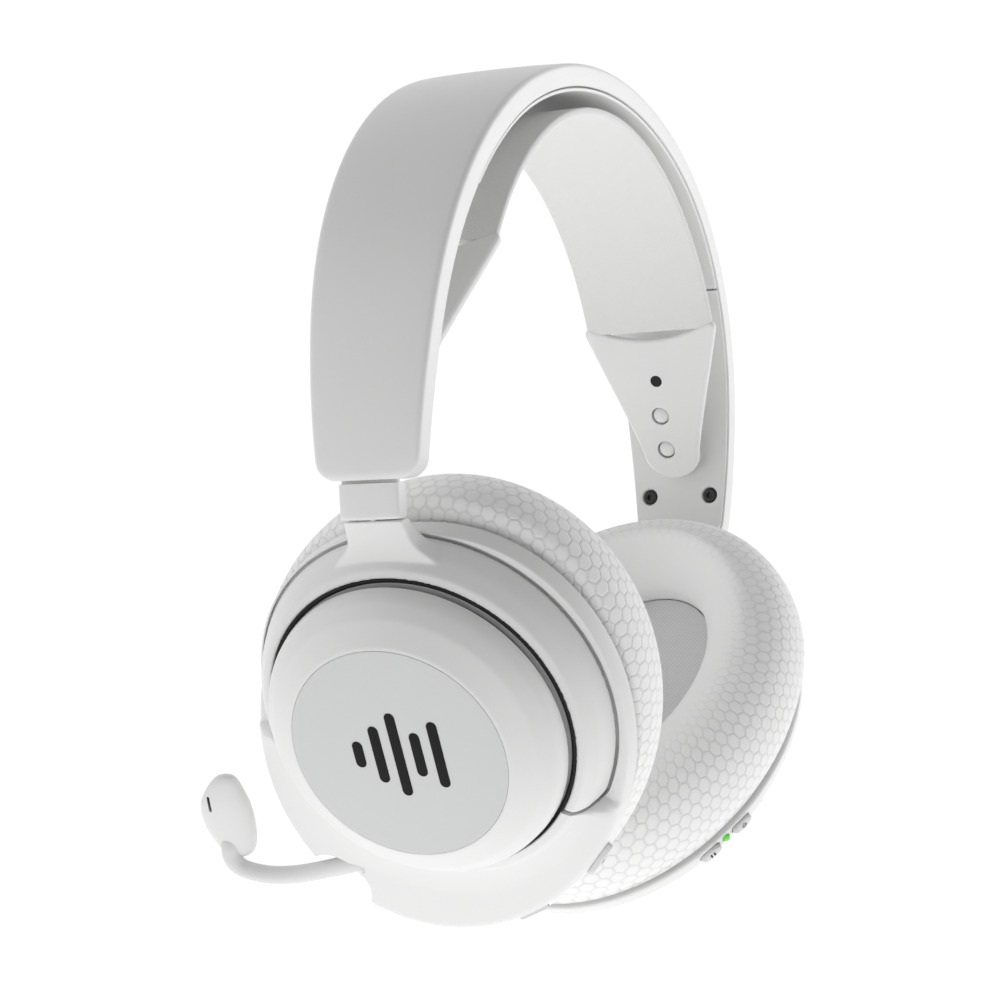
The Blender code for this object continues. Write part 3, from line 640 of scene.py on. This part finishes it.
def housing():
    """The housing ring with the yoke's seat, and its round-edged oval rim."""
    ends = [YOKE_ENDS[0] - END_GAP, YOKE_ENDS[1] + END_GAP]
    angles = {round(2 * pi * i / 200, 6) for i in range(200)}
    for end in ends:
        angles |= {round((end + radians(d)) % (2 * pi), 6) for d in (-7, -6, -5, -4, -3, -2, -1.2, -0.6, -0.25,
                -0.02, 0.02, 0.25, 0.6, 1.2, 2, 3, 4, 5, 6, 7)}
    rings = []
    for angle in sorted(angles):
        r, inside = rim(angle), seat_depth(angle)
        if inside > 0.0:
            wall = reach(inside) + 0.4
            sink = 0.9 * max(0.0, min(1.0, (15.0 - inside) / 4.0))
            floor = [(32.9, -14.6 - sink), (34.6, -17.2 - sink), (36.0, -21.0 - 0.8 * sink),
                    (39.4, -21.4 - 0.8 * sink)]
            low, far = min(34.6, wall - 0.9), min(36.0, wall - 0.45)
            outer = [(30.6, -12.4), (32.6, -12.4), (32.9, -14.6 - sink), (low, between(low, floor)),
                    (far, between(far, floor)),
                     (wall, between(wall, floor)), (wall + 0.05, brow(wall))]
            inner = [(33.0, -21.6), (32.2, -17.6), (30.6, -14.4)]
        else:
            wall = 36.4
            outer = [(30.6, -12.4), (33.0, -12.4), (33.2, -11.1), (33.9, -11.35), (34.6, -11.6), (35.2, -11.9),
                    (36.4, -13.5)]
            inner = [(35.4, -18.2), (33.2, -14.8), (30.6, -14.4)]
        edge = max(39.9, r - 0.9)
        face = [(35.2, -11.9), (37.2, -14.8), (edge, min(-18.9, brow(wall) - 0.2 + 0.12 * (edge - wall)))]
        for share in (0.4, 1.0):
            x = wall + (edge - wall) * share
            outer.append((x, between(x, face) + (brow(wall) - between(wall, face)) * (1.0 - share)))
        deep = max(36.4, r - 2.0)
        shape = outer + [(max(40.0, r + 0.3), RIM_H - 0.2), (deep, RIM_H - 0.3), (max(34.2, r - 3.4), -23.0)] + inner
        radii = [0.1, 0.2, 0.35, 0.3, 0.3, 0.15, 0.15, 1.2, 2.0, 0.8, 0.2, 0.2, 0.2, 0.2, 0.1]
        rings.append(polar(angle, rounded(shape, radii, 4)))
    return skin("cup_housing_left_look", rings, CUP, WHITE, closed=True)


def yoke():
    """Half ring with its stem, melted together so the stem flares into it."""
    start, end = YOKE_ENDS
    rings = []
    span = end - start
    marks = sorted({start + span * i / 120 for i in range(121)} | {start + radians(d) for d in (0.15, 0.5, 1, 1.6,
            2.3, 3, 4, 5, 6)}
                   | {end - radians(d) for d in (0.15, 0.5, 1, 1.6, 2.3, 3, 4, 5, 6)})
    for angle in marks:
        near = min(angle - start, end - angle) * YOKE_MID
        edge = reach(near + 0.35)
        half, foot = 33.4 + 0.72 * (edge - 33.4), 33.4 + 0.62 * (edge - 33.4)
        section = [(33.4, -11.2), (min(35.2, edge - 0.3), brow(min(35.2, edge - 0.3))), (half, brow(half) + 0.15),
                (edge, brow(edge)),
                   (foot, brow(edge) - 0.6), (33.4 + 0.36 * (edge - 33.4),
                           -12.6 + 0.5 * (brow(edge) + 12.0)), (33.5, -12.9)]
        shape = rounded(section, [0.35, 0.3, 0.9, 0.4, 0.4, 0.4, 0.3], 4)
        mid = sum((Vector(p) for p in section), Vector((0.0, 0.0))) / len(section)
        into = max(0.0, 0.7 - near) / 0.7
        grow = 0.6 + 0.4 * sqrt(max(0.0, 1.0 - into * into))
        rings.append(polar(angle, [mid + (p - mid) * grow for p in shape]))
    body = skin("yoke_left_look", rings, CUP, WHITE)
    stem_rows = ((45.7, -12.2, 44.3, -16.0, 6.6, 0.0), (43.4, -12.5, 42.4, -16.9, 6.75, 0.0),
            (41.2, -12.8, 40.6, -17.8, 7.1, 0.3),
                 (39.2, -13.1, 38.9, -18.6, 8.3, 0.7), (36.6, -13.45, 37.6, -18.3, 12.2, 1.0))
    rings = []
    for r_out, h_out, r_in, h_in, half, bend in catmull(stem_rows, 6):
        top = [(half * k / 12.0, 0.28 * abs(k / 12.0) ** 2.5) for k in range(-12, 13)]
        ring = [(x, r_out - low, h_out - 2.4 * low) for x, low in top]
        ring += [(x, r_in + 0.2 * (abs(x / half) ** 3), h_in) for x, _ in reversed(top)]
        corner_pts = rounded(ring, [1.0] + [0.0] * 23 + [1.0, 1.0] + [0.0] * 23 + [1.0], 4)
        rings.append([(p.x, p.y - bend * (p.y - sqrt(max(1.0, p.y * p.y - p.x * p.x))), p.z) for p in corner_pts])
    cut(body, skin("tool", rings, CUP, WHITE), "UNION")
    melt(body, 0.00032, 5)
    for tag, centre in (("front", (-35.6, 1.2, -16.4)), ("rear", (32.5, -14.5, -16.4))):
        pin_dir = (Vector((32.5, -14.5, -16.4)) - Vector((-35.6, 1.2,
                -16.4))).normalized() * (1.0 if tag == "rear" else -1.0)
        at = in_cup(*(Vector(centre) + pin_dir * -3.0), pin_dir, (0.0, 0.0, 1.0))
        pin = lathe("pivot_pin_%s_left_look" % tag, [(0.0, -3.0), (1.4, -3.0), (1.6, -2.7), (1.6, 2.7), (1.4, 3.0),
                (0.0, 3.0)], at, STEEL, 40)
        pair_pin(pin)
    pair(body, "yoke", "satin_white")
    x, z, turn = arch(SEAM + 0.2, 2.9)
    at = frame_at(x, 0.0, z, (cos(turn), 0.0, -sin(turn)), (0.0, 1.0, 0.0))
    pin = lathe("swivel_pin_left_look", [(0.0, -2.6), (0.9, -2.6), (1.05, -2.4), (1.05, 1.4), (0.9, 1.6),
            (0.0, 1.6)], at, STEEL, 32)
    pair_pin(pin)


def pair_pin(pin):
    """The pins ride with whichever body holds their CAD node."""
    pair(pin, BODY_OF[pin.name.removesuffix("_look")].removesuffix("_left"), "steel")


def melt(obj, voxel, rounds):
    """Fuse a piece's surface and soften its inner corners."""
    change = obj.modifiers.new("Fuse", "REMESH")
    change.mode, change.voxel_size, change.use_smooth_shade = "VOXEL", voxel, True
    soft = obj.modifiers.new("Soften", "SMOOTH")
    soft.factor, soft.iterations = 0.5, rounds
    settle(obj).shade_smooth()


def slider():
    """Slider block at the cover's foot, and the strip that runs up the arm."""
    rings = []
    for s in stations(BLOCK_TOP, SEAM, 1.2, (SEAM,)):
        pull = corner(s, SEAM, 0.5)
        w = 6.6 - pull
        outline = [(-w, 4.9 - pull), (-w, 1.0 + pull)] + [(w * k / 6.0,
                0.55 + 0.35 * abs(k / 6.0) ** 2.4 + pull) for k in range(-5, 6)]
        outline += [(w, 1.0 + pull), (w, 4.9 - pull)]
        rings.append(arch_ring(s, [tuple(p) for p in rounded(
            outline, [0.9, 1.1] + [0.0] * 11 + [1.1, 0.9], 5)]))
    block = skin("slider_left_look", rings, PLACED, WHITE)
    x, z, turn = arch(136.6, 3.35)
    at = frame_at(x, 0.0, z, (-sin(turn), 0.0, -cos(turn)), (cos(turn), 0.0, -sin(turn)))
    strip = rounded(((-16.5, -6.3), (17.2, -6.3), (17.2, 6.3), (-16.5, 6.3)), [2.0, 0.5, 0.5, 2.0], 6)
    cut(block, plate_of("tool", [tuple(p) for p in strip], 1.0, at, WHITE, 0.2), "UNION")
    pair(block, "slider", "satin_white")


def plate():
    """Speaker plate and disc, with a plain equaliser mark printed on it."""
    rise = rounded(((23.46, -1.5), (23.46, -0.1), (24.1, -0.3), (28.9, -3.3), (31.9, -6.5), (32.4, -9.9),
            (30.2, -9.9)),
                   [0.0, 0.1, 0.4, 0.8, 1.6, 0.15, 0.0], 6)
    profile = [(0.0, -1.5)] + [tuple(p) for p in rise] + [(30.2, -8.8), (28.2, -5.6), (23.0, -3.4), (0.0, -3.4)]
    pair(lathe("speaker_plate_left_look", profile, CUP, WHITE, 160), "cup", "satin_white")
    # Painted shadow: a black ring lines the gap between the plate and the housing to stand in for the shade in it;
    # the CAD has no such part.
    gap_shade = [(32.46, -13.4), (33.35, -13.4), (33.35, -11.7), (32.9, -11.5), (32.46, -11.7)]
    pair(lathe("plate_gasket_left_look", gap_shade, CUP, BLACK, 160), "cup", "black_plastic", cad=False)
    face = [(0.0, 0.0), (23.1, 0.0), (23.32, -0.05), (23.4, -0.15), (23.42, -0.4), (23.42, -1.2), (0.0, -1.2)]
    pair(lathe("plate_disc_left_look", face, CUP, MATTE, 160), "cup", "matte_grey")
    heights = (6.0, 13.0, 19.0, 10.0, 15.0)
    for index, tall in enumerate(heights):
        x = (index - 2) * 4.4
        bar = pill(2.3, tall)
        mark = plate_of("disc_bar_%d_left_look" % (index + 1), bar, 0.08, in_cup(x, 0.0, 0.035), INK, 0.03)
        pair(mark, "cup", "black_plastic", cad=False)


def pill(wide, tall, steps=8):
    """Anticlockwise outline of a vertical pill."""
    r, half = wide / 2.0, tall / 2.0 - wide / 2.0
    arcs = [(r * cos(pi * k / steps), half + r * sin(pi * k / steps)) for k in range(steps + 1)]
    return arcs + [(-x, -y) for x, y in arcs]


def ear_hole(angle, grow=0.0):
    """Radius of the ear's opening in the cushion."""
    return oval(angle, HOLE["a"] + grow, HOLE["b"] + grow, HOLE["cx"], HOLE["cy"], HOLE["tilt"])


def cushion():
    """Ear cushion: a thin-walled form blown up as cloth, in honeycomb mesh."""
    around, per = 108, 3
    rings = []
    for i in range(around):
        angle = 2 * pi * i / around
        out, hole = rim(angle) + 2.8 + 2.0 * sin(angle) - 0.6 * cos(angle), ear_hole(angle)
        crown = hole + 0.52 * (out - hole)
        shape = [(hole + 3.2, -25.5), (rim(angle) - 2.2, -25.5), (out - 1.3, -27.0), (out - 0.1, -31.0),
                (out - 0.4, -36.4),
                 (out - 2.2, -41.2), (out - 6.0, -44.6), (crown, -46.0), (hole + 5.2, -41.6), (hole + 1.4,
                         -36.2), (hole + 0.5, -32.4),
                 (hole + 1.2, -27.4)]
        rings.append(polar(angle, catmull(shape, per, closed=True)))
    pad = skin("ear_cushion_left_look", rings, PLACED, MESH, closed=True)
    inflate(pad)
    pad.data.transform(CUP)
    honeycomb_uv(pad, around, len(rings[0]))
    knitted_zone(pad, len(rings[0]))
    subdivide(pad, 2)
    for piece in pair(pad, "cup", "mesh_fabric"):
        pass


def inflate(pad):
    """Blow the cushion up as cloth held at its base, and keep the swelling small."""
    rest = [v.co.copy() for v in pad.data.vertices]
    held = pad.vertex_groups.new(name="held")
    held.add([i for i, co in enumerate(rest) if co.z > -0.0268], 1.0, "REPLACE")
    cloth = pad.modifiers.new("Cloth", "CLOTH")
    cloth.settings.vertex_group_mass = "held"
    cloth.settings.use_pressure = True
    cloth.settings.uniform_pressure_force = 4.0
    cloth.settings.tension_stiffness = cloth.settings.compression_stiffness = 15.0
    cloth.settings.bending_stiffness = 0.8
    cloth.settings.effector_weights.gravity = 0.0
    cloth.point_cache.frame_start, cloth.point_cache.frame_end = 1, 20
    for step in range(1, 21):
        bpy.context.scene.frame_set(step)
    shaped = pad.evaluated_get(bpy.context.evaluated_depsgraph_get())
    moved = [v.co.copy() for v in shaped.data.vertices]
    pad.modifiers.clear()
    bpy.context.scene.frame_set(1)
    for vertex, old, new in zip(pad.data.vertices, rest, moved):
        step = new - old
        vertex.co = old + step * min(1.0, 0.0011 / max(step.length, 1e-9))
    pad.data.update()


def honeycomb_uv(pad, around, section):
    """UVs in metres: along the rim and across the section, closing on whole cells."""
    points = [v.co for v in pad.data.vertices]
    girth = sum((points[((i + 1) % around) * section + 12] - points[i * section + 12]).length for i in range(around))
    cells = round(girth / CELL_PITCH)
    layer = pad.data.uv_layers["UVMap"]
    lengths = [[0.0] for _ in range(around)]
    for i in range(around):
        for k in range(section):
            lengths[i].append(lengths[i][-1] + (points[i * section + (k + 1) % section] - points[i * section + k]).length)
    for face in pad.data.polygons:
        rows = [pad.data.loops[loop].vertex_index // section for loop in face.loop_indices]
        cols = [pad.data.loops[loop].vertex_index % section for loop in face.loop_indices]
        for loop, i, k in zip(face.loop_indices, rows, cols):
            u = i + (around if i == 0 and max(rows) > 1 else 0)
            v = section if k == 0 and max(cols) > 1 else k
            layer.data[loop].uv = (u / around * cells * CELL_PITCH, lengths[i][v])


def knitted_zone(pad, section):
    """1 on the honeycomb outer wall, fading to 0 on the smooth cloth towards the ear."""
    zone = pad.data.attributes.new("knit", "FLOAT", "POINT")
    for i, item in enumerate(zone.data):
        k = i % section
        item.value = 1.0 if k <= 18 else max(0.0, 1.0 - (k - 18) / 5.0) if k < 30 else 0.0


def subdivide(obj, levels):
    """Subdivide a soft piece for good."""
    change = obj.modifiers.new("Smooth", "SUBSURF")
    change.levels = change.render_levels = levels
    settle(obj).shade_smooth()


def driver_cloth():
    """Grey cloth over each driver, faintly domed."""
    steps = 72
    rings = []
    for share, lift in ((1.0, 0.0), (0.97, -0.35), (0.85, -0.8), (0.5, -1.3), (0.2, -1.5)):
        rings.append([((ear_hole(2 * pi * i / steps,
                0.5) * cos(2 * pi * i / steps) - HOLE["cx"]) * share + HOLE["cx"],
                       (ear_hole(2 * pi * i / steps,
                               0.5) * sin(2 * pi * i / steps) - HOLE["cy"]) * share + HOLE["cy"],
                       -29.4 + lift) for i in range(steps)])
    cloth = skin("driver_cloth_left_look", rings, CUP, GREY_CLOTH)
    for loop in cloth.data.loops:
        co = CUP.inverted() @ cloth.data.vertices[loop.vertex_index].co
        cloth.data.uv_layers["UVMap"].data[loop.index].uv = (co.x, co.y)
    for piece in pair(cloth, "cup", "grey_cloth"):
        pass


def ring_outline(wide, tall, power=2.0, steps=40):
    """Anticlockwise outline of an oval (power 2) or a lens (below 2)."""
    out = []
    for k in range(steps):
        a = 2 * pi * k / steps
        c, s = cos(a), sin(a)
        out.append((wide / 2 * abs(c) ** (2 / power) * (1 if c >= 0 else -1),
                tall / 2 * abs(s) ** (2 / power) * (1 if s >= 0 else -1)))
    return out


def scoop(at, wide, tall, deep):
    """A shallow dish-shaped cutter sunk into a wall at a frame."""
    rings = []
    for k in range(1, 12):
        a = pi * k / 12
        rings.append([(x * sin(a), y * sin(a), -deep * cos(a)) for x, y in ring_outline(wide, tall, 1.75)])
    return skin("tool", rings, at, WHITE)


def flat_mark(name, outline, at, up, body):
    """A thin printed mark lying on a surface."""
    mark = plate_of(name, outline, 0.06, at @ Matrix.Translation((0.0, 0.0, up * MM)), INK, 0.02)
    use(mark, body, "black_plastic")


def bar_between(a, b, wide):
    """Anticlockwise outline of a straight stroke."""
    a, b = Vector(a), Vector(b)
    n = (b - a).normalized()
    side = Vector((-n.y, n.x)) * wide / 2
    return [tuple(a - side), tuple(b - side), tuple(b + side), tuple(a + side)]


def key(name, at, body, slot, cad):
    """A small lens-shaped rocker key."""
    cap = plate_of(name, ring_outline(*cad[1], 2.2, 48), 1.6, at @ Matrix.Translation((0.0, 0.0, -0.0002)), PALE,
            0.4, 0.12)
    use(cap, body, slot, cad[0])


def left_extras(body):
    """Notch, gland, boom, capsule, mute key and charging port of the left cup."""
    notch = [(0.0, -8.0), (7.4, -8.0), (7.8, -7.0), (7.8, 7.0), (7.4, 8.0), (0.0, 8.0)]
    cut(body, lathe("tool", notch, in_cup(-33.5, -43.5, -20.5), WHITE, 96))
    axis = Vector((-8.3, -2.1, 0.0)).normalized()
    bore(body, 3.45, -12.0, 12.0, in_cup(-19.5, -36.5, -20.0, axis, (0.0, 0.0, 1.0)), 48)
    route = [(-14.0, -35.2, -20.0), (-24.8, -37.9, -20.0), (-33.1, -40.0, -20.0), (-43.6, -42.2, -20.0),
            (-51.2, -42.6, -20.0),
             (-57.2, -41.2, -20.0), (-59.3, -38.4, -19.9), (-59.2, -35.2, -20.4), (-58.8, -33.4, -21.6)]
    line = [Vector(p) for p in catmull(route, 10)]
    rings = []
    for i, here in enumerate(line):
        run = (line[min(i + 1, len(line) - 1)] - line[max(i - 1, 0)]).normalized()
        side = run.cross(Vector((0.0, 0.0, 1.0))).normalized()
        rings.append([tuple(here + (side * cos(t) + Vector((0.0, 0.0,
                1.0)) * sin(t)) * 2.0) for t in [2 * pi * k / 28 for k in range(28)]])
    boom = skin("mic_boom_look", rings, CUP, SOFT)
    use(boom, "microphone", "soft_white", "mic_boom")
    rings = []
    for along, shift, wide, thick in catmull([(0.0, 0.3, 0.7, 0.5), (0.5, 0.3, 2.4, 1.3), (1.8, 0.2, 3.9, 2.1),
            (4.5, 0.0, 5.1, 2.6), (8.5, -0.3, 6.1, 2.8),
                                              (13.0, -0.2, 6.0, 2.8), (16.0, 0.3, 4.9, 2.5), (18.6, 1.1, 3.5,
                                                      1.9), (20.0, 1.6, 2.2, 1.2), (20.5, 1.7, 0.7, 0.5)], 4):
        ring = []
        for k in range(48):
            t = 2 * pi * k / 48
            c, s = cos(t), sin(t)
            ring.append((-58.4 + shift + wide * abs(c) ** 0.8 * (1 if c >= 0 else -1), -39.0 + along,
                         -22.0 + thick * abs(s) ** 0.85 * (1 if s >= 0 else -1)))
        rings.append(ring)
    capsule = skin("mic_capsule_look", rings, CUP, WHITE)
    cut(capsule, plate_of("tool", pill(0.8, 3.6), 3.0, in_cup(-61.0, -24.6, -18.6), WHITE, 0.1))
    use(capsule, "microphone", "satin_white", "mic_capsule")
    grille = plate_of("mic_grille_look", pill(0.76, 3.5), 0.4, in_cup(-61.0, -24.6, -20.0), BLACK, 0.05)
    use(grille, "microphone", "black_plastic")
    profile = [(2.12, 1.2), (2.9, 1.2), (3.15, 1.0), (3.2, 0.8), (3.2, -0.8), (2.12, -0.8)]
    gland = lathe("mic_gland_look", profile, in_cup(-24.4, -37.8, -20.0, axis, (0.0, 0.0, 1.0)), PALE, 64)
    use(gland, BODY_OF["mic_gland"], "pale_grey", "mic_gland")
    at = wall_frame(radians(-54.0), -21.9)
    cut(body, scoop(at, 17.5, 4.3, 0.7))
    cut(body, plate_of("tool", ring_outline(9.8, 3.0, 2.2, 48), 6.0, at, WHITE, 0.02))
    key("mute_button_look", at, "mute_key", "pale_grey", ("mute_button", (9.4, 2.6)))
    for index, stroke in enumerate((pill(0.7, 1.3), bar_between((-0.8, -1.0), (0.8, 1.0), 0.22),
            bar_between((-0.35, -1.25), (0.35, -1.25), 0.22))):
        flat_mark("mute_mark_%d_look" % (index + 1), stroke, at, 0.76, "mute_key")
    port = wall_frame(radians(-79.0), -21.8)
    cut(body, plate_of("tool", ring_outline(8.9, 3.1, 3.6, 48), 10.0, port, WHITE, 0.02))
    shell = plate_of("usb_port_look", ring_outline(8.4, 2.6, 3.6, 48), 3.4,
            port @ Matrix.Translation((0.0, 0.0, -0.0018)), STEEL, 0.15)
    cut(shell, plate_of("tool", ring_outline(7.7, 1.9, 3.4, 48), 4.4, port @ Matrix.Translation((0.0, 0.0, 0.0008)),
            WHITE, 0.02))
    use(shell, BODY_OF["usb_port"], "steel", "usb_port")


FLIP = Matrix.Scale(-1.0, 4, (1.0, 0.0, 0.0))


def unflip(matrix):
    """A right-handed frame with the same Z and X after a mirroring."""
    turn = matrix.to_3x3()
    z, x = turn.col[2].normalized(), turn.col[0].normalized()
    return Matrix.Translation(matrix.translation) @ Matrix((x, z.cross(x), z)).transposed().to_4x4()


def right_extras(body):
    """Power and link keys in their scoop, and the light between them."""
    mid = unflip(FLIP @ wall_frame(radians(-50.0), -21.9))
    cut(body, scoop(mid, 23.0, 4.3, 0.6))
    for name, angle, power in (("power_button", -44.0, True), ("link_button", -56.0, False)):
        at = unflip(FLIP @ wall_frame(radians(angle), -21.9))
        cut(body, plate_of("tool", ring_outline(6.0, 3.0, 2.4, 48), 6.0, at, WHITE, 0.02))
        key(name + "_look", at, name.replace("button", "key"), "pale_grey", (name, (5.6, 2.6)))
        if power:
            glyph = [(0.62 * cos(radians(a)), 0.62 * sin(radians(a))) for a in range(125, 416, 15)]
            glyph += [(0.42 * cos(radians(a)), 0.42 * sin(radians(a))) for a in range(410, 119, -15)]
            flat_mark("power_mark_ring_look", glyph, at, 0.76, "power_key")
            flat_mark("power_mark_bar_look", bar_between((0.0, 0.15), (0.0, 0.8), 0.2), at, 0.76, "power_key")
        else:
            for index, shift in enumerate((-0.45, 0.45)):
                flat_mark("link_mark_%d_look" % (index + 1), [(x + shift, y) for x, y in pill(0.42, 1.1)], at, 0.76,
                        "link_key")
    spot = unflip(FLIP @ wall_frame(radians(-50.0), -21.9))
    bore(body, 1.05, -3.0, 3.0, spot, 32)
    led = lathe("status_led_look", [(0.0, 1.15), (0.5, 1.08), (0.75, 0.85), (0.85, 0.5), (0.85, -1.1), (0.0, -1.1)],
                spot @ Matrix.Translation((0.0, 0.0, -0.0009)), LIGHT, 32)
    use(led, BODY_OF["status_led"], "green_light", "status_led")


# ---------------------------------------------------------------- light, floor and camera
def area_light(name, place, target, size, power, colour=(1.0, 1.0, 1.0)):
    """A square soft light aimed at a point."""
    data = bpy.data.lights.new(name, "AREA")
    data.size, data.energy, data.color = size, power, colour
    lamp = bpy.data.objects.new(name, data)
    lamp.matrix_world = Matrix.Translation(place) @ (Vector(place) - Vector(target)).to_track_quat("Z",
            "Y").to_matrix().to_4x4()
    bpy.context.scene.collection.objects.link(lamp)
    return lamp


def surroundings():
    """Pale floor and sky, soft lights, and the camera."""
    beta, tip, roll = 0.4336, -0.0912, -0.0037
    back = Vector((cos(beta) * cos(tip), sin(beta) * cos(tip), sin(tip)))
    right = Vector((-sin(beta), cos(beta), 0.0))
    up = back.cross(right)
    right, up = cos(roll) * right - sin(roll) * up, sin(roll) * right + cos(roll) * up
    data = bpy.data.cameras.new("view")
    data.lens, data.sensor_width, data.clip_start = 98.58, 36.0, 0.05
    camera = bpy.data.objects.new("view", data)
    place = Vector((0.0, 0.0, 0.011)) - 0.0109485 * right - 0.095595 * up + 0.624135 * back
    camera.matrix_world = Matrix.Translation(place) @ Matrix((right, up, back)).transposed().to_4x4()
    bpy.context.scene.collection.objects.link(camera)
    bpy.context.scene.camera = camera
    middle = Vector((0.0, 0.0, -0.09))
    area_light("key", middle - 0.75 * right + 0.35 * up + 0.25 * back, middle, 0.7, KEY_POWER)
    area_light("rear", middle + 0.75 * right + 0.25 * up - 0.35 * back, middle, 0.5, REAR_POWER)
    area_light("top", middle + 0.8 * up + 0.1 * back, middle, 0.7, TOP_POWER)
    floor_mat = plastic("floor", (0.92, 0.92, 0.92), 0.9)
    floor_mat.node_tree.nodes["Principled BSDF"].inputs["Emission Color"].default_value = (1.0, 1.0, 1.0, 1.0)
    floor_mat.node_tree.nodes["Principled BSDF"].inputs["Emission Strength"].default_value = 0.5
    bm = bmesh.new()
    bmesh.ops.create_grid(bm, x_segments=2, y_segments=2, size=6.0)
    floor = finish_mesh("floor", bm, Matrix.Translation((0.0, 0.0, -0.32)), floor_mat)
    world = bpy.data.worlds.new("studio")
    bpy.context.scene.world = world
    world.use_nodes = True
    tree = world.node_tree
    sky = tree.nodes["Background"]
    sky.inputs["Color"].default_value = (1.0, 1.0, 1.0, 1.0)
    where = node(tree, "ShaderNodeTexCoord")
    facing = node(tree, "ShaderNodeVectorMath", operation="DOT_PRODUCT")
    facing.inputs[1].default_value = (-back.x, -back.y, 0.0)
    tree.links.new(where.outputs["Generated"], facing.inputs[0])
    level = node(tree, "ShaderNodeMapRange")
    level.inputs["From Min"].default_value, level.inputs["From Max"].default_value = -0.55, 0.5
    level.inputs["To Min"].default_value, level.inputs["To Max"].default_value = SKY_LEVEL, 1.05
    tree.links.new(facing.outputs["Value"], level.inputs["Value"])
    tree.links.new(level.outputs["Result"], sky.inputs["Strength"])
    bpy.context.scene.view_settings.view_transform = "Standard"


KEY_POWER, REAR_POWER, TOP_POWER, SKY_LEVEL = 1.1, 1.9, 0.15, 0.12
BODY_OF = {part: body for body, parts in frame["record"]["behaviour"]["bodies"].items() for part in parts}
headband()
tabs()
strap()
slider()
yoke()
left_housing = housing()
pair(left_housing, "cup", "satin_white")
plate()
cushion()
driver_cloth()
left_extras(left_housing)
right_extras(bpy.data.objects["cup_housing_right_look"])
surroundings()
